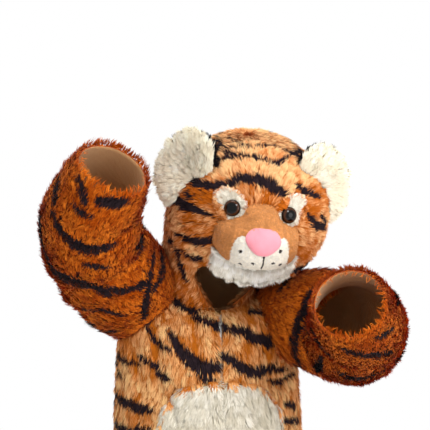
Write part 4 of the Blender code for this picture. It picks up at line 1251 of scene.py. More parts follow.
class Finish:
    """A material's node tree around one Principled shader."""

    def __init__(self, name, **shader):
        self.material = bpy.data.materials.new(name)
        self.material.use_nodes = True
        self.nodes = self.material.node_tree.nodes
        self.links = self.material.node_tree.links
        self.shader = self.nodes["Principled BSDF"]
        for socket, value in shader.items():
            self.shader.inputs[socket.replace("_", " ")].default_value = value

    def node(self, kind, settings=None, inputs=None):
        """Add a node, set it, then fill its sockets with values or links."""
        made = self.nodes.new(kind)
        for name, value in (settings or {}).items():
            if name == "stops":
                ramp = made.color_ramp.elements
                while len(ramp) < len(value):
                    ramp.new(0.5)
                for stop, (place, colour) in zip(ramp, value):
                    stop.position = place
                    stop.color = (*colour, 1.0)
            else:
                setattr(made, name, value)
        for name, value in (inputs or {}).items():
            self.join(value, made.inputs[name])
        return Node(self, made)

    def join(self, value, socket):
        if isinstance(value, Value):
            self.links.new(value.socket, socket)
        elif isinstance(value, (tuple, list)) and len(value) == 3 and socket.type == "RGBA":
            socket.default_value = (*value, 1.0)
        else:
            socket.default_value = value

    def surface(self, **inputs):
        """Feed the shader's own sockets."""
        for name, value in inputs.items():
            self.join(value, self.shader.inputs[name.replace("_", " ")])

    def place(self):
        """The point on the piece, in metres."""
        return self.node("ShaderNodeTexCoord").out("Object")

    def noise(self, scale, detail=3.0, roughness=0.5, at=None):
        inputs = {"Scale": scale, "Detail": detail, "Roughness": roughness}
        inputs["Vector"] = at or self.place()
        return self.node("ShaderNodeTexNoise", None, inputs).out("Fac")

    def bands(self, direction, **inputs):
        settings = {"wave_type": "BANDS", "bands_direction": direction}
        inputs["Vector"] = self.place()
        return self.node("ShaderNodeTexWave", settings, inputs).out("Fac")

    def rise(self, value, low, high):
        """0 at the low value and 1 at the high one."""
        inputs = {"Value": value, "From Min": low, "From Max": high}
        return self.node("ShaderNodeMapRange", None, inputs).out()

    def vector(self, kind, inputs, out="Value"):
        return self.node("ShaderNodeVectorMath", {"operation": kind}, inputs).out(out)

    def mix(self, share, first, second, blend="MIX"):
        """Two colours mixed."""
        made = self.node("ShaderNodeMix", {"data_type": "RGBA", "blend_type": blend})
        self.join(share, made.node.inputs[0])
        self.join(first, made.node.inputs[6])
        self.join(second, made.node.inputs[7])
        return made.out(2)

    def bump(self, height, distance, strength=1.0):
        made = self.node("ShaderNodeBump", None, {"Strength": strength, "Distance": distance,
                                                  "Height": height})
        self.surface(Normal=made.out("Normal"))


def made_once(make):
    """A finish is made when it is first asked for, and found by its name after that."""
    def finish(name, *settings):
        if name not in bpy.data.materials:
            make(name, *settings)
        return bpy.data.materials[name]
    return finish


@made_once
def pile_finish(name):
    """Plush pile: the strand's own dye and painted root shade, a little uneven, with a soft sheen.
    """
    finish = Finish(name, Roughness=0.7, Sheen_Weight=0.03, Sheen_Roughness=0.45,
                    Specular_IOR_Level=0.04)
    strand = finish.node("ShaderNodeAttribute", {"attribute_name": "pile_dye"}).out("Color")
    mottle = finish.noise(210.0, 2.0)
    uneven = finish.mix(mottle * 0.22, strand, (0.4, 0.28, 0.2), "MULTIPLY")
    finish.surface(Base_Color=uneven, Roughness=0.62 + mottle * 0.2)


@made_once
def root_finish(name):
    """The cloth right under the pile: the same dye, darker as painted shade, with the knit's fine
    bumps.
    """
    finish = Finish(name, Roughness=0.95)
    cloth = finish.node("ShaderNodeAttribute", {"attribute_name": "root_dye"}).out("Color")
    mottle = finish.noise(320.0, 3.0)
    finish.surface(Base_Color=finish.mix(mottle * 0.5, cloth, (0.5, 0.4, 0.3), "MULTIPLY"))
    finish.bump(mottle, 0.0015)


@made_once
def backing_finish(name):
    """The knitted back of the plush, seen inside the garment."""
    finish = Finish(name, Roughness=0.92, Sheen_Weight=0.15)
    ribs = finish.bands("X", Scale=190.0, Distortion=1.2, Detail=1.0)
    rows = finish.bands("Z", Scale=230.0, Distortion=1.2, Detail=1.0)
    knit = ribs * rows
    cloud = finish.noise(18.0, 2.0)
    tone = finish.mix(cloud, (0.52, 0.27, 0.1), (0.66, 0.38, 0.17))
    finish.surface(Base_Color=finish.mix(knit * 0.5, tone, (0.34, 0.16, 0.06)))
    finish.bump(knit, 0.0008, 0.7)


@made_once
def velour_finish(name, deep, pale, nap_sheen=0.5):
    """Short smooth velour whose tone turns lighter or darker with its nap, as painted sheen."""
    finish = Finish(name, Roughness=0.8, Sheen_Weight=0.55, Sheen_Roughness=0.35,
                    Specular_IOR_Level=0.25)
    streaks = finish.node("ShaderNodeMapping", None,
                          {"Vector": finish.place(), "Scale": (60.0, 14.0, 14.0)}).out()
    brushed = finish.noise(1.0, 4.0, 0.6, streaks)
    grain = finish.noise(1400.0, 2.0)
    cloud = finish.noise(45.0, 2.0)
    # Painted sheen: the nap's brushed streaks, lighter and darker in the base colour.
    share = brushed * nap_sheen + cloud * (0.7 - nap_sheen * 0.5) + grain * 0.25
    finish.surface(Base_Color=finish.mix(finish.rise(share, 0.3, 0.8), deep, pale),
                   Roughness=0.72 + grain * 0.2)
    finish.bump(grain * 0.6 + brushed * 0.8, 0.0006, 0.8)


@made_once
def hard_finish(name, colour, roughness, metallic=0.0, coat=0.0, wear=0.0):
    """A hard material with fine scratches in its roughness."""
    finish = Finish(name, Metallic=metallic, Coat_Weight=coat, Coat_Roughness=0.04)
    grain = finish.noise(900.0, 3.0)
    cloud = finish.noise(160.0, 2.0)
    darker = shade(colour, 0.55)
    finish.surface(Base_Color=finish.mix(cloud * (0.3 + wear), colour, darker),
                   Roughness=roughness + grain * 0.14)
    finish.bump(grain, 0.0001, 0.4)


@made_once
def eye_finish(name):
    """A moulded eye: a black pupil in a streaked brown ring, under a clear glossy front."""
    finish = Finish(name, Roughness=0.04, Coat_Weight=0.05, Coat_Roughness=0.02,
                    Specular_IOR_Level=0.17)
    chart = finish.node("ShaderNodeUVMap", {"uv_map": "iris"}).out()
    parts = finish.node("ShaderNodeSeparateXYZ", None, {0: chart})
    across = parts.out(0)
    up = parts.out(1)
    away = (across * across + up * up) ** 0.5
    rays = finish.noise(9.0, 3.0, 0.6, finish.node(
        "ShaderNodeCombineXYZ", None, {0: across / away, 1: up / away, 2: away * 0.1}).out())
    ring = finish.node("ShaderNodeValToRGB", {"stops": (
        (0.0, (0.002, 0.002, 0.002)), (0.6, (0.002, 0.002, 0.002)),
        (0.67, (0.03, 0.009, 0.003)), (0.82, (0.085, 0.028, 0.008)),
        (0.92, (0.024, 0.008, 0.004)), (1.0, (0.002, 0.001, 0.001)))}, {0: away}).out()
    finish.surface(Base_Color=finish.mix(rays * 0.8, ring, (0.25, 0.22, 0.2), "MULTIPLY"))


@made_once
def tape_finish(name):
    """Woven zip tape."""
    finish = Finish(name, Roughness=0.85, Sheen_Weight=0.2)
    weave = finish.bands("Z", Scale=520.0, Distortion=0.6)
    finish.surface(Base_Color=finish.mix(weave * 0.6, (0.36, 0.17, 0.07), (0.2, 0.09, 0.035)))
    finish.bump(weave, 0.0003)


# Sizes and colours


def length(name, description, default):
    return bpy.props.FloatProperty(name=name, description=description, default=default,
                                   min=0.0, unit="LENGTH", precision=4)


def dye(name, description, default):
    return bpy.props.FloatVectorProperty(name=name, description=description, default=default,
                                         min=0.0, max=1.0, size=3, subtype="COLOR")


class CostumeSizes(bpy.types.PropertyGroup):
    """Sizes of the cloth and its pile."""
    wall: length("Cloth", "Thickness of the knitted cloth under the pile", 0.0018)
    sink: length("Sink", "How far the cloth lies below the pressed pile's face", 0.0048)
    body_pile: length("Jumpsuit pile", "Length of the pile on the jumpsuit", 0.015)
    sleeve_pile: length("Sleeve pile", "Length of the pile on the sleeves", 0.016)
    hood_pile: length("Hood pile", "Length of the pile on the hood", 0.014)
    ear_pile: length("Ear pile", "Length of the pile on the ears", 0.015)
    patch_pile: length("Patch pile", "Length of the belly patch's pile", 0.017)
    ruff_pile: length("Ruff pile", "Length of the chin ruff's pile", 0.0155)
    strand: length("Strand", "Half the width of one strand", 0.0006)


class CostumeColours(bpy.types.PropertyGroup):
    """Dyes of the cloth."""
    body_deep: dye("Jumpsuit roots", "Dye at the roots of the jumpsuit's pile",
                   (0.54, 0.145, 0.01))
    body_pale: dye("Jumpsuit tips", "Dye at the tips of the jumpsuit's pile",
                   (1.0, 0.6, 0.27))
    sleeve_deep: dye("Sleeve roots", "Dye at the roots of the sleeves' pile",
                     (0.44, 0.068, 0.001))
    sleeve_pale: dye("Sleeve tips", "Dye at the tips of the sleeves' pile",
                     (0.82, 0.225, 0.018))
    hood_deep: dye("Hood roots", "Dye at the roots of the hood's pile", (0.5, 0.115, 0.006))
    hood_pale: dye("Hood tips", "Dye at the tips of the hood's pile", (0.98, 0.57, 0.265))
    stripe: dye("Stripes", "Dye of the stripes", (0.019, 0.0115, 0.0145))
    cream: dye("Cream", "Dye of the ears' fronts and the belly patch", (0.99, 0.955, 0.85))
    white: dye("White", "Dye of the chin ruff and the eye patches", (0.98, 0.965, 0.92))
    black: dye("Black", "Dye of the ears' backs", (0.016, 0.013, 0.018))
    muzzle: dye("Muzzle", "Dye of the upper muzzle", (0.57, 0.235, 0.075))
    nose: dye("Nose", "Dye of the nose", (0.92, 0.31, 0.37))


def sizes():
    return bpy.context.scene.costume_sizes


def colours():
    return bpy.context.scene.costume_colours


def shade(colour, share=1.0):
    """A colour, or a darker shade of it."""
    return tuple(part * share for part in colour)


def plush_dye(deep, pale, stripes=(), seed=1, patch=0.03, deepen=None, soft=0.0014):
    """A dye function: deep roots, pale tips, drifting patches and black stripes."""
    deep = np.array(deep)
    pale = np.array(pale)
    black = np.array(colours().stripe)
    drift = Lattice(seed, patch)
    small = Lattice(seed + 7, patch * 0.32)

    def dyed(sample, tone, rng):
        share = 0.5 + 1.2 * (drift(sample) - 0.5) + 0.8 * (small(sample) - 0.5) + 0.3 * tone
        # A deepen function takes the dye deeper, or paler where it is negative; on the jumpsuit it
        # paints shade in the creases.
        if deepen is not None:
            share = share - deepen(sample)
        share = np.clip(share, 0.0, 1.15)[:, None]
        light = (1.0 + 0.07 * tone)[:, None]
        tip = (deep * (1.0 - share) + pale * share) * np.clip(light, 0.6, 1.3)
        root = deep * np.clip(light, 0.7, 1.2)
        if len(stripes):
            mask = stripe_mask(sample, stripes, rng, soft)
            tip[mask] = black * np.clip(1.15 + 0.35 * tone[mask], 0.4, 2.2)[:, None]
            root[mask] = black * 0.8
        return np.clip(root, 0.0, 1.0), np.clip(tip, 0.0, 1.0)
    return dyed


def dye_and_shade_roots(item, dyed):
    """Give the cloth under the pile the same dye, point by point, darkened as painted shade."""
    points = coordinates(item)
    root, _ = dyed(points, np.zeros(len(points)), np.random.default_rng(5))
    shades = np.ones((len(points), 4))
    # Painted shade: the cloth under the pile takes the dye darkened, as if in the pile's shade.
    shades[:, :3] = root * 0.85
    dye_points(item.data, "root_dye", shades)
    item.data.materials[0] = root_finish("pile root")
    item.data.materials[1] = backing_finish("knitted backing")


def outer_area(item):
    """The area of a cloth's outer face."""
    outer = read_each(item.data.polygons, "material_index", int) == 0
    return float(read_each(item.data.polygons, "area")[outer].sum())


def rides(item, slot, *nodes):
    """Attach a piece to the suit and hide the nodes that it replaces; the slot is not used."""
    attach(item, "suit")
    if nodes:
        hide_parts(*nodes)
    return item


def pile_on(cloth, name, comb, dyed, slot, count, seed, length, lie, lock, pull, weigh=None,
            swing=0.3, strand=1.0, favour=0.0, stretch=(1.0, 1.0, 1.0)):
    roots, normals, room = scatter(cloth, count, seed, weigh, favour)
    item = comb_pile(name, roots, normals, comb(roots), dyed, length, lie,
                     sizes().strand * strand * room, lock, pull, seed, swing, stretch)
    return rides(item, slot)


def cover(cloth, name, comb, dyed, slot, **lay):
    """Dye a cloth with painted shade, cover its outer face with pile and attach both to the suit.
    """
    dye_and_shade_roots(cloth, dyed)
    pile = pile_on(cloth, name + "_pile", comb, dyed, slot, **lay)
    rides(cloth, slot, name)
    return pile


# Making


class CostumeGuides(bpy.types.Operator):
    """Make the guides that trim one piece where it meets another."""
    bl_idname = "costume.guides"
    bl_label = "Guides"

    def execute(self, context):
        sink = sizes().sink
        over = np.linspace(0.0, 1.0, 48, endpoint=False)
        for hand in SLEEVE_ROWS:
            surface = sleeve_surface(hand, SEAM_GAP - sink)
            places = np.linspace(0.0, 1.0, 29)[:17]
            loops = [surface(over, place + 0.0 * over) for place in places]
            loops_guide("guide sleeve " + hand, loops)
        surface = hood_surface(SEAM_GAP - sink)
        loops = [surface(over, place + 0.0 * over) for place in np.linspace(0.0, 0.985, 28)]
        loops_guide("guide hood", loops)
        depth = sink + sizes().wall
        loops = []
        for place in np.linspace(0.0, 1.0, 71)[:43]:
            loop = []
            for side, face, turn in ((1, -1, 1), (1, 1, -1), (-1, 1, 1), (-1, -1, -1)):
                across = np.linspace(0.0, 1.0, 17)[::turn]
                loop.extend(body_surface(side, face, -depth)(across, place + 0.0 * across)[:-1])
            loops.append(np.array(loop))
        loops_guide("guide body hollow", loops)
        steps = read_table(OPENING_COLUMNS, OPENING_ROWS, np.linspace(0.0, 1.0, 25))
        left = [(x, 0.0, level) for x, level in zip(steps["left_edge"], steps["level"])]
        right = [(x, 0.0, level) for x, level in zip(steps["right_edge"], steps["level"])]
        edge = prism_guide("guide face opening", left + right[::-1], (0.0, -GUIDE_REACH, 0.0))
        set_slots(edge.data, [0] * len(edge.data.polygons))
        return {"FINISHED"}


def over_zip(points, strength):
    """How far the pile beside the zip leans over it."""
    along = (points[:, 2] > CHANNEL_END) * smoothstep((-0.082 - points[:, 2]) / 0.02)
    return -np.sign(points[:, 0]) * strength * np.exp(-(points[:, 0] / 0.012) ** 2) * along


def cover_panel(number, name, cloth, cloths):
    """Dye and cover one panel of the jumpsuit."""
    face = -1 if name.startswith("front") else 1
    both = [item for key, item in cloths.items() if key[:4] == name[:4]]
    stripes = routes_on_body(both, FRONT_STRIPES if face < 0 else BACK_STRIPES)

    # Painted shade: the pile's dye is deeper in the jumpsuit's creases, and a little paler
    # elsewhere.
    def painted_crease_shade(sample):
        return 0.85 * fold_depth(sample, face, BODY_CREASES) / 0.006 - 0.13

    dyed = plush_dye(colours().body_deep, colours().body_pale, stripes, 21 + number,
                     deepen=painted_crease_shade)

    def comb(points):
        swirl = Lattice(3, 0.09)(points)[:, None] - 0.5
        way = DOWN + np.array((0.45, 0.0, 0.0)) * swirl
        if face < 0:
            way[:, 0] = way[:, 0] + over_zip(points, 1.1)
        return way

    def weigh(points):
        upper = smoothstep((points[:, 2] + 0.36) / 0.08)
        return 1.0 + (2.2 if face < 0 else 0.25) * upper

    pile = cover(cloth, name, comb, dyed, "body_plush",
                 count=46500 if face < 0 else 20500, seed=31 + number,
                 length=sizes().body_pile, lie=0.34, lock=0.0062, pull=0.34,
                 weigh=weigh, swing=0.17, strand=0.95 if face < 0 else 1.6,
                 stretch=(1.0, 1.0, 0.42))
    outer_area(cloth)
    "sleeve_" + name.split("_")[1]


class CostumeJumpsuit(bpy.types.Operator):
    """Make the two fronts and the two backs, each from the shoulder to the ankle."""
    bl_idname = "costume.jumpsuit"
    bl_label = "Jumpsuit"

    def execute(self, context):
        cloths = {}
        for side, hand in SIDES:
            for face, face_name in ((-1, "front"), (1, "back")):
                name = face_name + "_" + hand
                cloths[name] = sewn(name + "_cloth", body_surface(side, face, -sizes().sink),
                                    (22, 96), ["guide sleeve " + hand], facing=side * face,
                                    edges=(channel_edge if face < 0 else seam_edge, seam_edge))
        for number, (name, cloth) in enumerate(cloths.items()):
            cover_panel(number, name, cloth, cloths)
        return {"FINISHED"}


def make_sleeve(number, hand):
    """One sleeve, trimmed and covered with pile."""
    name = "sleeve_" + hand
    cloth = sewn(name + "_cloth", sleeve_surface(hand, -sizes().sink), (64, 44),
                 ["guide body hollow", "guide hood"], merged=True)
    dyed = plush_dye(colours().sleeve_deep, colours().sleeve_pale,
                     routes_on_sleeve(hand), 51 + number)

    def comb(points):
        return sleeve_way(hand, points) + np.array((0.0, 0.0, -0.15))

    pile = cover(cloth, name, comb, dyed, "sleeve_plush", count=44500, seed=61 + number,
                 length=sizes().sleeve_pile, lie=0.4, lock=0.0056, pull=0.24,
                 swing=0.22, favour=1.2)
    outer_area(cloth)


class CostumeSleeves(bpy.types.Operator):
    """Make both sleeves, trimmed where they meet the jumpsuit and the hood."""
    bl_idname = "costume.sleeves"
    bl_label = "Sleeves"

    def execute(self, context):
        for number, hand in enumerate(SLEEVE_ROWS):
            make_sleeve(number, hand)
        return {"FINISHED"}


def collar_tuft(cloth, dyed):
    """Longer locks at the foot of the left side, pushed up by the raised shoulder."""
    def weigh(points):
        own = to_hood(points)
        bearing = np.degrees(np.arctan2(own[:, 0], -own[:, 1]))
        near = (bearing > 42.0) & (bearing < 96.0) & (own[:, 2] < -0.078) & (own[:, 2] > -0.112)
        return np.where(near, 1.0, 0.0)

    def comb(points):
        return np.array((1.0, -0.1, 0.9)) + 0.0 * points

    return pile_on(cloth, "collar_tuft", comb, dyed, "hood_plush", count=1500, seed=231,
                   length=0.021, lie=0.75, lock=0.0085, pull=0.6, weigh=weigh, swing=0.45)


def side_view(x, level):
    """The gusset's outline seen from the side, with its front edge at a level."""
    far = GUIDE_REACH
    return [(x, far, -far), (x, far, far), (x, -far, far), (x, -far, level),
            (x, 0.0, level), (x, 0.0, -far)]


def from_face(points):
    """Away from the middle of the face over its front, and down at the sides and back."""
    own = to_hood(points)
    away = hood_way(own - np.array((0.0, -0.12, 0.015)))
    front = smoothstep((-own[:, 1] - 0.01) / 0.06)[:, None]
    return away * (0.35 + 0.65 * front) + DOWN * (1.0 - 0.75 * front)


def face_tones(sample):
    """Cheeks and brow a deeper orange; forehead and crown paler, partly their tone, partly painted
    top light.
    """
    own = to_hood(sample)
    brow = smoothstep((0.07 - own[:, 2]) / 0.02) * smoothstep((own[:, 2] - 0.02) / 0.02)
    near = np.exp(-(np.maximum(muzzle_share(own[:, 0], own[:, 2]) - 1.0, 0.0) / 0.35) ** 2)
    cheeks = 0.1 * smoothstep((0.085 - own[:, 2]) / 0.03) + 0.22 * brow + 0.2 * near
    front = smoothstep((0.03 - own[:, 1]) / 0.06)
    # Painted light, in part: the top of the hood is paler, as if lit from above.
    return front * cheeks - 0.5 * smoothstep((own[:, 2] - 0.072) / 0.02)


def hood_dye(stripes, seed):
    return plush_dye(colours().hood_deep, colours().hood_pale, stripes, seed, deepen=face_tones)


def clear_of_muzzle(points):
    """Hardly any pile grows under the muzzle."""
    own = to_hood(points)
    under = (muzzle_share(own[:, 0], own[:, 2]) < 0.93) & (own[:, 1] < -0.05)
    return np.where(under, 0.02, 1.0)


def make_hood_part(number, name, side, stripes):
    """The gusset, which has no side, or one side of the hood."""
    far = GUIDE_REACH
    cloth = grid_on(name + "_cloth", hood_surface(-sizes().sink), (96, 48), -1,
                    merged=True, pole=True)
    give_wall(cloth, sizes().wall)
    cut_by(cloth, "guide face opening")
    if side == 0:
        cut_by(cloth, "guide gusset", "INTERSECT")
    else:
        cut_by(cloth, "guide gusset seam")
        seam = CHIN_SEAM + side * SEAM_GAP / 2
        outline = [(seam, -far, -far), (-side * far, -far, -far),
                   (-side * far, far, -far), (seam, far, -far)]
        prism_guide("guide chin " + name, outline, (0, 0, 2 * far))
        cut_by(cloth, "guide chin " + name)
    shade_smooth(cloth)
    dyed = hood_dye(stripes, 71 + number)
    grown = [cover(cloth, name, from_face, dyed, "hood_plush", count=25000,
                   seed=81 + number, length=sizes().hood_pile, lie=0.42, lock=0.006,
                   pull=0.3, weigh=clear_of_muzzle, swing=0.24, favour=1.5)]
    if side > 0:
        grown.append(collar_tuft(cloth, dyed))
    outer_area(cloth)


class CostumeHood(bpy.types.Operator):
    """Make the hood's gusset and its two sides, with the face opening cut from them."""
    bl_idname = "costume.hood"
    bl_label = "Hood"

    def execute(self, context):
        half = GUSSET_HALF_WIDTH
        wide = half + SEAM_GAP
        level = GUSSET_FRONT_LEVEL
        prism_guide("guide gusset", side_view(-half, level), (2 * half, 0, 0))
        prism_guide("guide gusset seam", side_view(-wide, level - SEAM_GAP), (2 * wide, 0, 0))
        stripes = routes_on_hood()
        for number, (name, side) in enumerate((("hood_gusset", 0), ("hood_side_left", 1),
                                               ("hood_side_right", -1))):
            make_hood_part(number, name, side, stripes)
        return {"FINISHED"}


def ear_frame(side):
    """The matrix from an ear's own frame, facing -Y, to the garment's."""
    hand = "left" if side > 0 else "right"
    place = Matrix.Translation(EAR_PLACES[hand])
    tilt = Matrix.Rotation(side * EAR_TILT, 4, "Y")
    turn = Matrix.Rotation(side * EAR_TURN[hand], 4, "Z")
    return hood_frame() @ place @ turn @ tilt


def disc_pad(name, place, height, rings, segments):
    """A stuffed pad: a filled circle shaped into a dome, with a flat back on a second slot.

    The place function gives points from shares of the pad's half sizes and a height."""
    item = new_piece(name, bpy.ops.mesh.primitive_circle_add, vertices=segments, radius=1.0,
                     fill_type="TRIFAN")
    in_edit_mode(item, bpy.ops.mesh.subdivide, number_cuts=rings)
    spots = coordinates(item)
    share = np.minimum(np.linalg.norm(spots[:, :2], axis=1), 1.0)
    corner = np.pi / segments
    turn = np.arctan2(spots[:, 1], spots[:, 0])
    off = (turn - np.pi / 2) % (2 * corner) - corner
    share = np.minimum(share * np.cos(off) / np.cos(corner), 1.0)
    a, b = share * np.cos(turn), share * np.sin(turn)
    rise = height(share)
    front, back = place(a, b, rise), place(a, b, 0.0 * rise)
    data = item.data
    faces = [list(face.vertices) for face in data.polygons]
    count = len(front)
    rim = [edge.vertices[:] for edge in data.edges if share[list(edge.vertices)].min() > 0.999]
    solid = bpy.data.meshes.new(name)
    behind = [[corner + count for corner in face[::-1]] for face in faces]
    skirt = [(low, high, high + count, low + count) for low, high in rim]
    solid.from_pydata(np.concatenate((front, back)).tolist(), [], faces + behind + skirt)
    item.data = solid
    bpy.data.meshes.remove(data)
    solid.name = name
    two_slots(solid)
    set_slots(solid, [0] * len(faces) + [1] * len(behind) + [0] * len(skirt))
    face_outwards(item)
    shade_smooth(item)
    return item


def ear_front_height(share):
    dome = (EAR_FRONT_DEPTH - EAR_FUR_DEPTH) * np.sqrt(1.0 - share ** EAR_FRONT_FULLNESS)
    return np.maximum(dome - EAR_HOLLOW * np.exp(-(share / EAR_HOLLOW_SPREAD) ** 2), 0.001)


def ear_back_height(share):
    return np.maximum((EAR_BACK_DEPTH - 0.003) * np.sqrt(1.0 - share ** EAR_BACK_FULLNESS), 0.001)


def make_ear(side, hand):
    """One ear's front and back pads."""
    own = np.array(ear_frame(side))
    middle = np.array(EAR_PLACES[hand])
    base = from_hood(EAR_COMB_FROM + 0.62 * (middle - EAR_COMB_FROM))
    for face, face_name, height, deep, pale, count, slot in (
            (-1, "front", ear_front_height, np.array(colours().cream) * (0.98, 0.93, 0.82),
             np.array(colours().cream) * (1.0, 0.99, 0.95), 13000, "cream_plush"),
            (1, "back", ear_back_height, np.array(colours().black) * 0.6, colours().black,
             5500, "black_plush")):
        def place(a, b, out, face=face):
            flat = np.stack((a * (EAR_HALF_WIDTH - 0.004), face * (out + SEAM_GAP),
                             b * (EAR_HALF_HEIGHT - 0.004)), axis=-1)
            return flat @ own[:3, :3].T + own[:3, 3]

        name = "ear_" + face_name + "_" + hand
        pad = disc_pad(name + "_pad", place, height, 5, 32)
        cut_by(pad, "guide hood")
        shade_smooth(pad)

        def comb(points):
            return unit(points - base)

        cover(pad, name, comb, plush_dye(deep, pale, (), 91, 0.02), slot, count=count,
              seed=101 + side, length=sizes().ear_pile * (1.0 if face < 0 else 0.9),
              lie=0.62 if face < 0 else 0.42, lock=0.007, pull=0.26, swing=0.24)


class CostumeEars(bpy.types.Operator):
    """Make each ear: a hollowed cream front and a rounded black back, both stuffed."""
    bl_idname = "costume.ears"
    bl_label = "Ears"

    def execute(self, context):
        for side, hand in SIDES:
            make_ear(side, hand)
        return {"FINISHED"}


@made_once
def muzzle_finish(name):
    """The lower muzzle's white velour, with its embroidered mouth line and whisker dots."""
    finish = Finish(name, Roughness=0.8, Sheen_Weight=0.4, Sheen_Roughness=0.35)
    here = finish.place()
    grain = finish.noise(1400.0, 2.0)
    cloud = finish.noise(60.0, 3.0)
    cloth = finish.mix(cloud, (0.62, 0.58, 0.52), (0.9, 0.88, 0.84))
    rows = np.array(WHISKER_DOTS)
    marks = 0.0
    for place, radius in zip(muzzle_front(rows[:, 0], rows[:, 1], 0.0), rows[:, 2]):
        away = finish.vector("DISTANCE", {0: here, 1: tuple(place)})
        marks = finish.rise(away, radius + 0.0004, radius - 0.0003) + marks
    ends = np.array((MOUTH_TOP, MOUTH_FOOT))
    top, foot = muzzle_front(ends[:, 0], ends[:, 1], 0.0)
    run = foot - top
    off = finish.vector("SUBTRACT", {0: here, 1: tuple(top)}, 0)
    share = finish.vector("DOT_PRODUCT", {0: off, 1: tuple(run / (run @ run))})
    share = finish.node("ShaderNodeClamp", None, {0: share}).out()
    nearest = finish.vector("SCALE", {0: tuple(run), "Scale": share}, 0)
    away = finish.vector("DISTANCE", {0: off, 1: nearest})
    marks = marks + finish.rise(away, MOUTH_HALF_WIDTH + 0.0004, MOUTH_HALF_WIDTH - 0.0003)
    finish.surface(Base_Color=finish.mix(marks, cloth, (0.05, 0.026, 0.018)),
                   Roughness=0.7 + grain * 0.2)
    finish.bump(grain + cloud * 0.5, 0.0006, 0.8)


def off_seam(x, level):
    """How far a place on the muzzle is from the seam between its two halves."""
    split = np.array(MUZZLE_SPLIT)
    corners = np.arange(len(split))
    steps = np.linspace(0.0, corners[-1], 40 * corners[-1])
    line_x, line_level = (np.interp(steps, corners, split[:, part]) for part in (0, 1))
    return np.hypot(x[:, None] - line_x, level[:, None] - line_level).min(axis=1)


def press_seams(item):
    """Draw the stuffing in along the seams and the mouth line."""
    own = to_hood(coordinates(item))
    x, level = own[:, 0], own[:, 2]
    depth = 0.0022 * np.exp(-(off_seam(x, level) / 0.0034) ** 2)
    above = smoothstep((level - 0.03) / 0.006)
    depth = depth + 0.0012 * np.exp(-(x / 0.0022) ** 2) * above
    along = np.clip((MOUTH_TOP[1] - level) / (MOUTH_TOP[1] - MOUTH_FOOT[1]), 0.0, 1.0)
    line = MOUTH_TOP[0] + along * (MOUTH_FOOT[0] - MOUTH_TOP[0])
    away = np.hypot(x - line, np.minimum(level - MOUTH_FOOT[1], 0.0))
    depth = depth + 0.0022 * np.exp(-(away / 0.003) ** 2) * (level < MOUTH_TOP[1])
    own[:, 1] = own[:, 1] + depth * (own[:, 1] < MUZZLE_BACK - 0.004)
    move_points(item, from_hood(own))


def face_marks():
    """The embroidered mouth line and whisker dots, as routes on the muzzle."""
    routes = []
    for x, level, radius in WHISKER_DOTS:
        points = muzzle_front(np.array((x, x + 0.0001)), np.array((level, level)), 0.0)
        routes.append(np.column_stack((points, (radius, radius))))
    share = np.linspace(0.0, 1.0, 9)[:, None]
    line = np.array(MOUTH_TOP) * (1.0 - share) + np.array(MOUTH_FOOT) * share
    points = muzzle_front(line[:, 0], line[:, 1], -0.002)
    routes.append(np.column_stack((points, 0.0 * share + MOUTH_HALF_WIDTH)))
    return routes


def nap_streaks(sample):
    """Fine darker streaks in the nap, in arcs round the nose."""
    own = to_hood(sample)
    level = own[:, 2] - NOSE_LEVEL
    round_nose = np.arctan2(own[:, 0], level) * 0.005
    places = np.stack((np.hypot(own[:, 0], level), round_nose, 0.0 * level), axis=-1)
    return 1.6 * smoothstep((Lattice(183, 0.0022)(places) - 0.6) / 0.12) - 0.2


def from_nose(points):
    """The short nap lies up and away from the nose."""
    return hood_way(to_hood(points) - np.array((0.0, -0.19, NOSE_LEVEL)))


def muzzle_dome(gap):
    """Places on the muzzle's dome, or on one that stands a gap outside it."""
    def place(a, b, out):
        x = a * (muzzle_half_width(b) + gap)
        level = MUZZLE_LEVEL + b * (MUZZLE_HALF_HEIGHT + gap)
        return from_hood(np.stack((x, MUZZLE_BACK - out, level), axis=-1))
    return place


def muzzle_height(share):
    return np.maximum(MUZZLE_REACH * np.sqrt(1.0 - share ** MUZZLE_FULLNESS), 0.001)


def make_muzzle_half(name, operation, shift):
    """The muzzle above its seam, or below it."""
    pad = disc_pad(name + "_pad", muzzle_dome(0.0), muzzle_height, 13, 64)
    press_seams(pad)
    edge = [(x + shift * math.copysign(1.0, x), 0.05, level + shift)
            for x, level in MUZZLE_SPLIT]
    outline = edge + [(edge[-1][0], 0.05, -0.12), (edge[0][0], 0.05, -0.12)]
    prism_guide("guide " + name, outline, (0, -GUIDE_REACH, 0))
    cut_by(pad, "guide " + name, operation)
    cut_by(pad, "guide hood")
    shade_smooth(pad, 50)
    lower = name == "muzzle_lower"
    finish_both(pad, muzzle_finish("white velour") if lower else
                velour_finish("brown velour", shade(colours().muzzle, 0.55),
                              shade(colours().muzzle)))
    slot = "white_velour" if lower else "brown_velour"
    rides(pad, slot, name)
    if lower:
        white = np.array(colours().white) * (0.9, 0.85, 0.76)
        dyed = plush_dye(white * 0.92, white, face_marks(), 181, 0.02, soft=0.0003)
    else:
        brown = np.array(colours().muzzle)
        dyed = plush_dye(brown * 0.86, brown * 1.26, (), 182, 0.05, deepen=nap_streaks)
    pile_on(pad, name + "_pile", from_nose, dyed, slot, count=7000 if lower else 12000,
            seed=191, length=0.0036, lie=0.34, lock=0.003, pull=0.2, swing=0.15,
            strand=0.6)


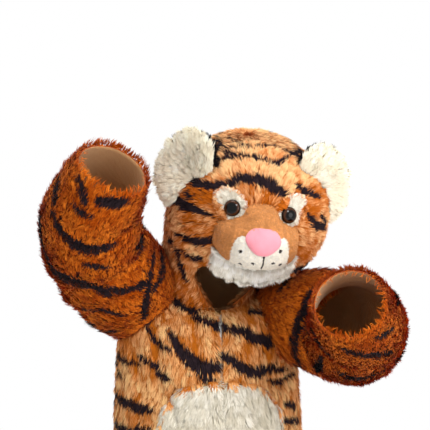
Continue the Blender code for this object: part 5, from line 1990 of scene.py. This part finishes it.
class CostumeMuzzle(bpy.types.Operator):
    """Make the stuffed muzzle, brown above its seam and white below, and the nose."""
    bl_idname = "costume.muzzle"
    bl_label = "Muzzle"

    def execute(self, context):
        as_guide(disc_pad("guide muzzle", muzzle_dome(SEAM_GAP),
                          lambda share: muzzle_height(share) + SEAM_GAP, 7, 48))
        for name, operation, shift in (("muzzle_top", "DIFFERENCE", SEAM_GAP / 2),
                                       ("muzzle_lower", "INTERSECT", -SEAM_GAP / 2)):
            make_muzzle_half(name, operation, shift)

        def nose_place(a, b, out):
            fall = (NOSE_WIDEST - b) / (1.0 + NOSE_WIDEST)
            wide = a * (1.0 - NOSE_NARROWS * smoothstep(fall))
            tall = b * (1.0 - NOSE_FLATTENS * (1.0 - np.abs(a)))
            return muzzle_front(wide * NOSE_HALF_WIDTH, NOSE_LEVEL + tall * NOSE_HALF_HEIGHT,
                                out + SEAM_GAP)

        def nose_height(share):
            return np.maximum(NOSE_PROUD * np.sqrt(1.0 - share ** NOSE_FULLNESS), 0.0016)

        nose = disc_pad("nose_pad", nose_place, nose_height, 9, 48)
        finish_both(nose, velour_finish("pink velour", shade(colours().nose, 0.72),
                                        shade(colours().nose), 0.2))
        rides(nose, "pink_velour", "nose")
        return {"FINISHED"}


def patch_cover(hand, off_x, off_level):
    """How far the hood's pile is brushed over an eye patch, from 0 to 1, by bearing."""
    bearing = np.degrees(np.arctan2(off_level, off_x)) % 360.0
    covered = np.zeros(len(bearing))
    for middle, spread in EYE_PATCH_COVERED[hand]:
        away = np.abs((bearing - middle + 180.0) % 360.0 - 180.0)
        covered = np.maximum(covered, smoothstep(1.4 * (1.0 - away / spread)))
    return covered


def make_patch(hand):
    """A furry eye patch, dyed like the hood where the hood's pile is brushed over it."""
    x_middle, level_middle = EYE_PATCH_PLACES[hand]
    tilt = EYE_PATCH_TILT[hand]
    cosine, sine = math.cos(tilt), math.sin(tilt)

    def place(a, b, out):
        wide = a * (EYE_PATCH_HALF_WIDTH - 0.002)
        tall = b * (EYE_PATCH_HALF_HEIGHT - 0.002)
        return hood_front(x_middle + cosine * wide - sine * tall,
                          level_middle + sine * wide + cosine * tall, out + SEAM_GAP)

    name = "eye_patch_" + hand
    cloth = disc_pad(name + "_cloth", place, lambda share: 0.0018 + 0.0 * share, 5, 36)
    cut_by(cloth, "guide muzzle")
    white = np.array(colours().white)
    plain = plush_dye(white * (0.66, 0.6, 0.5), white * (0.86, 0.83, 0.76), (), 121, 0.006)
    brushed = hood_dye((), 72)

    def dyed(sample, tone, rng):
        own = to_hood(sample)
        off_x, off_level = own[:, 0] - x_middle, own[:, 2] - level_middle
        wide = (cosine * off_x + sine * off_level) / EYE_PATCH_HALF_WIDTH
        tall = (cosine * off_level - sine * off_x) / EYE_PATCH_HALF_HEIGHT
        edge = 1.02 - 0.42 * patch_cover(hand, off_x, off_level)
        over = np.hypot(wide, tall) + rng.normal(0.0, 0.07, len(sample)) > edge
        pairs = zip(plain(sample, tone, rng), brushed(sample, tone, rng))
        return [np.where(over[:, None], brown, pale) for pale, brown in pairs]

    eye_x, eye_level = EYE_PLACES[hand]
    eye = hood_front(np.array([eye_x]), np.array([eye_level]), np.zeros(1))[0]

    def weigh(points):
        return np.linalg.norm(points - eye, axis=-1) > EYE_RADIUS * 0.8

    def comb(points):
        return unit(points - eye) + DOWN * 0.2

    pile = cover(cloth, name, comb, dyed, "white_plush", count=4500, seed=131, length=0.007,
                 lie=0.5, lock=0.004, pull=0.3, weigh=weigh, swing=0.35, strand=0.7)


def brush_over(hand):
    """The hood's own pile, brushed over the patch's rim, most at its outer side."""
    count = 2200
    around = np.random.default_rng(241).random(count) * 2.0 * math.pi
    wide = np.cos(around) * (EYE_PATCH_HALF_WIDTH + 0.0015)
    tall = np.sin(around) * (EYE_PATCH_HALF_HEIGHT + 0.0015)
    tilt = EYE_PATCH_TILT[hand]
    cosine, sine = math.cos(tilt), math.sin(tilt)
    off_x = cosine * wide - sine * tall
    off_level = sine * wide + cosine * tall
    x, level = EYE_PATCH_PLACES[hand]
    lengths = 0.0045 + 0.008 * patch_cover(hand, off_x, off_level)
    clear = muzzle_share(x + off_x, level + off_level) > 1.02
    off_x, off_level, lengths = off_x[clear], off_level[clear], lengths[clear]
    flat = np.zeros(len(off_x))
    roots = hood_front(x + off_x, level + off_level, flat + 0.001)
    normals = unit(hood_front(x + off_x, level + off_level, flat + 0.01) - roots)
    inner = hood_front(x + 0.8 * off_x, level + 0.8 * off_level, flat + 0.001)
    item = comb_pile("eye_patch_" + hand + "_overhang", roots, normals, inner - roots,
                     hood_dye((), 72), length=lengths, lie=0.5, half_width=sizes().strand,
                     lock=0.005, pull=0.3, seed=243, swing=0.4)
    rides(item, "hood_plush")


def make_eye(hand):
    """A domed eye with a low rim, its iris charted from its middle."""
    x, level = EYE_PLACES[hand]
    steps = np.array((EYE_PATCH_THICK + 3 * SEAM_GAP, EYE_PATCH_THICK + 0.01))
    low, high = hood_front(np.array([x, x]), np.array([level, level]), steps)
    out = Vector(high - low).normalized()
    side = Vector(HOOD_MATRIX[:3, 0])
    side = (side - out * side.dot(out)).normalized()
    turn = Matrix((side, out.cross(side), out)).transposed().to_4x4()
    eye = new_piece("eye_" + hand + "_moulded", bpy.ops.mesh.primitive_uv_sphere_add,
                    segments=48, ring_count=32, radius=EYE_RADIUS)

    def flatten():
        bpy.ops.transform.resize(value=(1.0, 1.0, EYE_DOME / EYE_RADIUS))
        bpy.ops.mesh.bisect(plane_co=(0.0, 0.0, 0.0), plane_no=(0.0, 0.0, 1.0), clear_inner=True)
        bpy.ops.mesh.extrude_region_move(TRANSFORM_OT_translate={"value": (0.0, 0.0, -EYE_RIM)})
        bpy.ops.mesh.edge_face_add()
        bpy.ops.mesh.select_all(action="SELECT")
        bpy.ops.transform.translate(value=(0.0, 0.0, EYE_RIM))

    in_edit_mode(eye, flatten)
    face_outwards(eye)
    corners = read_each(eye.data.loops, "vertex_index", int)
    chart = eye.data.uv_layers.new(name="iris")
    chart.data.foreach_set("uv", (coordinates(eye)[corners][:, :2] / EYE_RADIUS).ravel())
    eye.matrix_world = Matrix.Translation(low) @ turn
    select_only(eye)
    bpy.ops.object.transform_apply(location=True, rotation=True, scale=True)
    shade_smooth(eye, 40)
    give_finish(eye, eye_finish("eye plastic"))
    rides(eye, "eye_plastic", "eye_" + hand)


class CostumeEyes(bpy.types.Operator):
    """Make the furry eye patches, and the moulded eyes that sit on them."""
    bl_idname = "costume.eyes"
    bl_label = "Eyes"

    def execute(self, context):
        for hand in EYE_PLACES:
            make_patch(hand)
            brush_over(hand)
            make_eye(hand)
        return {"FINISHED"}


def under_jowls(dyed):
    """The ruff's uppermost pile, which fluffs out round the muzzle's lower edge."""
    count = 2600
    rng = np.random.default_rng(251)
    around = np.radians(rng.uniform(216.0, 327.0, count))
    share = rng.uniform(0.93, 1.0, count)
    tall = np.sin(around) * share
    x = np.cos(around) * share * muzzle_half_width(tall)
    roots = muzzle_front(x, MUZZLE_LEVEL + tall * MUZZLE_HALF_HEIGHT, 0.0)
    out = np.stack((np.cos(around), -0.15 + 0.0 * x, np.sin(around)), axis=-1)
    item = comb_pile("chin_ruff_edging", roots, hood_way(out * (1.0, 5.0, 1.0)), hood_way(out),
                     dyed, length=0.012, lie=0.2, half_width=sizes().strand * 0.8,
                     lock=0.005, pull=0.35, seed=252, swing=0.35)
    return rides(item, "white_plush")


class CostumeRuff(bpy.types.Operator):
    """Make the long white edging that hangs below the muzzle."""
    bl_idname = "costume.ruff"
    bl_label = "Chin ruff"

    def execute(self, context):
        def surface(across, along):
            x = (2.0 * across - 1.0) * RUFF_HALF_WIDTH
            level = RUFF_TOP_LEVEL + RUFF_ARCH * (x / RUFF_HALF_WIDTH) ** 2 - RUFF_DEPTH * along
            return hood_front(x, level, SEAM_GAP + 0.0022 + 0.0 * x)

        cloth = sewn("chin_ruff_cloth", surface, (40, 10), ["guide muzzle"], facing=-1)
        white = np.array(colours().white)
        dyed = plush_dye(white * (0.86, 0.82, 0.74), white, (), 141, 0.016)

        def comb(points):
            spread = np.zeros_like(points)
            spread[:, 0] = to_hood(points)[:, 0] * 9.0
            return DOWN + spread

        pile = cover(cloth, "chin_ruff", comb, dyed, "white_plush", count=9000, seed=151,
                     length=sizes().ruff_pile, lie=0.42, lock=0.005, pull=0.3, strand=0.85)
        edging = under_jowls(dyed)
        outer_area(cloth)
        return {"FINISHED"}


def patch_half_width(half):
    """The belly patch's half width at a height: 1 is its top and -1 its foot."""
    bulge = (1.0 - np.abs(half) ** PATCH_SQUARENESS) ** (1.0 / PATCH_SQUARENESS)
    return PATCH_END_WIDTH + (PATCH_HALF_WIDTH - PATCH_END_WIDTH) * bulge


def hang_over(side, hand):
    """The front's own pile hangs over the patch's top edge in uneven locks."""
    count = 2600
    rng = np.random.default_rng(211 + side)
    half = 1.0 - 2.0 * rng.random(count) * 0.3
    outer = patch_half_width(half)
    x = np.where(rng.random(count) < 0.42, CHANNEL_HALF_WIDTH + 0.002
                 + rng.random(count) * (PATCH_END_WIDTH - CHANNEL_HALF_WIDTH), outer)
    half = np.where(x < outer - 1e-9, 1.0, half)
    z = PATCH_TOP + (1.0 - half) / 2.0 * (PATCH_BOTTOM - PATCH_TOP)
    z = z + rng.uniform(-0.002, 0.006, count)
    roots = front_point(side, x, z, rng.uniform(0.001, 0.004, count))
    normals = unit(front_point(side, x, z, 0.01 + 0.0 * x) - front_point(side, x, z, 0.0 * x))
    stripes = routes_on_body([bpy.data.objects["front_" + name + "_cloth"]
                              for name in ("left", "right")], FRONT_STRIPES)
    dyed = plush_dye(colours().body_deep, colours().body_pale, stripes, 23)
    way = np.array((-side * 0.15, 0.0, -1.0)) + 0.0 * roots
    item = comb_pile("belly_patch_" + hand + "_overhang", roots, normals, way, dyed,
                     length=0.0135, lie=0.3, half_width=sizes().strand, lock=0.0075, pull=0.5,
                     seed=221 + side, swing=0.25)
    rides(item, "body_plush")


def make_patch_half(side, hand, dyed):
    """One half of the belly patch, up to the zip."""
    def surface(across, along):
        outer = patch_half_width(2.0 * along - 1.0)
        x = CHANNEL_HALF_WIDTH + across * (outer - CHANNEL_HALF_WIDTH)
        z = PATCH_TOP + along * (PATCH_BOTTOM - PATCH_TOP)
        return front_point(side, x, z, SEAM_GAP + 0.0022 + 0.0 * x)

    name = "belly_patch_" + hand
    cloth = sewn(name + "_cloth", surface, (24, 48), facing=-side)

    def comb(points):
        lean = Lattice(9, 0.05)(points)[:, None] - 0.5
        way = np.array((side * 0.28, 0.0, -1.0)) + np.array((0.9, 0.0, 0.0)) * lean
        way[:, 0] = way[:, 0] + over_zip(points, 1.2)
        return way

    def weigh(points):
        return 1.0 + 2.0 * smoothstep((points[:, 2] + 0.3) / 0.05)

    pile = cover(cloth, name, comb, dyed, "cream_plush", count=14000, seed=171 + side,
                 length=sizes().patch_pile, lie=0.34, lock=0.006, pull=0.3,
                 weigh=weigh, swing=0.18, strand=0.9, stretch=(1.0, 1.0, 0.4))
    outer_area(cloth)
    hang_over(side, hand)


class CostumeBellyPatch(bpy.types.Operator):
    """Make the cream belly patch in two halves, up to the zip."""
    bl_idname = "costume.belly_patch"
    bl_label = "Belly patch"

    def execute(self, context):
        cream = np.array(colours().cream) * 0.81
        dyed = plush_dye(cream * (0.8, 0.76, 0.66), cream, (), 161, 0.022)
        for side, hand in SIDES:
            make_patch_half(side, hand, dyed)
        return {"FINISHED"}


def model_tooth():
    """One tooth: a short bar with its edges taken off."""
    tooth = new_piece("tooth", bpy.ops.mesh.primitive_cube_add, size=1.0)

    def bar():
        bpy.ops.transform.resize(value=(TOOTH_LENGTH * 0.75, TOOTH_HEIGHT, TOOTH_PITCH * 0.56))
        bpy.ops.mesh.bevel(offset=0.00028, segments=1, affect="EDGES")

    in_edit_mode(tooth, bar)
    return tooth


def make_zip_side(side, hand, tooth):
    """One tape of the zip, with its teeth."""
    shape = coordinates(tooth)
    faces = [list(face.vertices) for face in tooth.data.polygons]
    lift = -PLUSH - TAPE_GAP

    def surface(across, along):
        wide = SEAM_GAP + across * (TAPE_HALF_WIDTH - SEAM_GAP)
        z = ZIP_TOP + along * (ZIP_BOTTOM - ZIP_TOP)
        points = front_point(side, wide, z, lift + 0.0 * z)
        points[..., 0] = side * wide
        return points

    name = "zip_tape_" + hand
    tape = sewn(name + "_woven", surface, (6, 120), wall=TAPE_THICK * 0.8, facing=-side)
    finish_both(tape, tape_finish("zip tape"))
    rides(tape, "zip_tape", name)

    first = ZIP_TOP - 0.002 - (0.5 * TOOTH_PITCH if side > 0 else 0.0)
    levels = np.arange(first, ZIP_BOTTOM + 0.002, -TOOTH_PITCH)
    zero = 0.0 * levels
    middle = front_point(1, zero, levels, zero + lift + TOOTH_HEIGHT / 2)
    out = front_point(1, zero, levels, zero + lift + 0.01) - middle
    middle[:, 0] = side * TOOTH_LENGTH * 0.2
    out[:, 0] = 0.0
    across = np.array((side, 0.0, 0.0)) + 0.0 * out
    axes = np.stack((across, unit(out), np.cross(across, unit(out))), axis=1)
    points = middle[:, None] + shape @ axes
    data = bpy.data.meshes.new("zip_teeth_" + hand)
    size = len(shape)
    data.from_pydata(points.reshape(-1, 3).tolist(), [],
                     [[corner + row * size for corner in face]
                      for row in range(len(levels)) for face in faces])
    teeth = place_mesh("zip_teeth_" + hand, data)
    face_outwards(teeth)
    data.materials.append(hard_finish("zip teeth", (0.55, 0.53, 0.5), 0.38, 0.0, 0.2))
    shade_smooth(teeth, 35)
    rides(teeth, "zip_metal")


class CostumeZip(bpy.types.Operator):
    """Make the zip's two woven tapes and their interlocked teeth, and finish its slider."""
    bl_idname = "costume.zip"
    bl_label = "Zip"

    def execute(self, context):
        tooth = model_tooth()
        for side, hand in SIDES:
            make_zip_side(side, hand, tooth)
        bpy.data.objects.remove(tooth, do_unlink=True)
        for node in ("zip_slider", "zip_pull"):
            item = frame["nodes"][node]
            give_finish(item, hard_finish("zip metal", (0.62, 0.6, 0.57), 0.26, 1.0))
            shade_smooth(item, 35)
        return {"FINISHED"}


def area_light(name, place, size, power):
    """A soft light that looks at the garment's chest."""
    bpy.ops.object.light_add(type="AREA", location=place)
    light = name_piece(bpy.context.object, name)
    light.data.shape = "DISK"
    light.data.size = size
    light.data.energy = power
    towards = Vector((0.0, 0.0, -0.1)) - Vector(place)
    light.rotation_euler = towards.to_track_quat("-Z", "Y").to_euler()


class CostumeStage(bpy.types.Operator):
    """Set the floor, the lights, the background and the camera."""
    bl_idname = "costume.stage"
    bl_label = "Stage"

    azimuth: bpy.props.FloatProperty(name="Azimuth", description="Camera's turn round the part",
                                     default=math.radians(-12.0), subtype="ANGLE")
    elevation: bpy.props.FloatProperty(name="Elevation", description="Camera's height angle",
                                       default=math.radians(3.0), subtype="ANGLE")
    distance: bpy.props.FloatProperty(name="Distance", description="Camera's distance",
                                      default=2.2, unit="LENGTH")
    frame_width: bpy.props.FloatProperty(name="Frame width", default=0.6794, unit="LENGTH",
                                         description="Width of the picture at the garment")

    def execute(self, context):
        bpy.ops.mesh.primitive_plane_add(size=4.6, location=(0.0, 0.3, CAD_BOX[0][2] - 0.002))
        floor = name_piece(bpy.context.object, "floor")
        paper = Finish("paper", Roughness=0.9)
        paper.surface(Base_Color=paper.mix(paper.noise(3.0), (0.84, 0.84, 0.84),
                                           (0.88, 0.88, 0.88)))
        floor.data.materials.append(paper.material)
        area_light("key light", (0.6, -2.35, 1.35), 0.85, 40.0)
        area_light("fill light", (1.6, -2.1, -0.1), 1.5, 19.5)
        area_light("top light", (-0.2, -0.5, 2.3), 1.4, 26.0)
        scene = context.scene
        world = bpy.data.worlds.new("background")
        scene.world = world
        world.use_nodes = True
        background = world.node_tree.nodes["Background"]
        background.inputs[0].default_value = (1.0, 1.0, 1.0, 1.0)
        background.inputs[1].default_value = 1.0
        scene.view_settings.view_transform = "Standard"

        rise = math.cos(self.elevation) * self.distance
        place = (math.sin(self.azimuth) * rise, -math.cos(self.azimuth) * rise,
                 math.sin(self.elevation) * self.distance)
        bpy.ops.object.camera_add(location=place, rotation=(
            math.pi / 2 - self.elevation, 0.0, self.azimuth))
        camera = name_piece(bpy.context.object, "camera")
        camera.data.sensor_width = SENSOR_WIDTH
        camera.data.lens = SENSOR_WIDTH * self.distance / self.frame_width
        camera.data.shift_x, camera.data.shift_y = PICTURE_SHIFT
        scene.camera = camera
        return {"FINISHED"}


STEPS = (CostumeGuides, CostumeJumpsuit, CostumeSleeves, CostumeHood, CostumeEars, CostumeMuzzle,
         CostumeEyes, CostumeRuff, CostumeBellyPatch, CostumeZip, CostumeStage)


class CostumePanel(bpy.types.Panel):
    """The steps that make the costume, in order."""
    bl_idname = "VIEW3D_PT_costume"
    bl_label = "Tiger Costume"
    bl_space_type = "VIEW_3D"
    bl_region_type = "UI"
    bl_category = "Costume"

    def draw(self, context):
        for group in (context.scene.costume_sizes, context.scene.costume_colours):
            for name in group.__annotations__:
                self.layout.prop(group, name)
        for step in STEPS:
            self.layout.operator(step.bl_idname)


CLASSES = (CostumeSizes, CostumeColours, *STEPS, CostumePanel)


def register():
    for item in CLASSES:
        bpy.utils.register_class(item)
    bpy.types.Scene.costume_sizes = bpy.props.PointerProperty(type=CostumeSizes)
    bpy.types.Scene.costume_colours = bpy.props.PointerProperty(type=CostumeColours)


def unregister():
    del bpy.types.Scene.costume_colours
    del bpy.types.Scene.costume_sizes
    for item in reversed(CLASSES):
        bpy.utils.unregister_class(item)


def main():
    register()
    bpy.ops.costume.guides()
    bpy.ops.costume.jumpsuit()
    bpy.ops.costume.sleeves()
    bpy.ops.costume.hood()
    bpy.ops.costume.ears()
    bpy.ops.costume.muzzle()
    bpy.ops.costume.eyes()
    bpy.ops.costume.ruff()
    bpy.ops.costume.belly_patch()
    bpy.ops.costume.zip()
    bpy.ops.costume.stage()
    drop_guides()


if __name__ == "__main__":
    main()
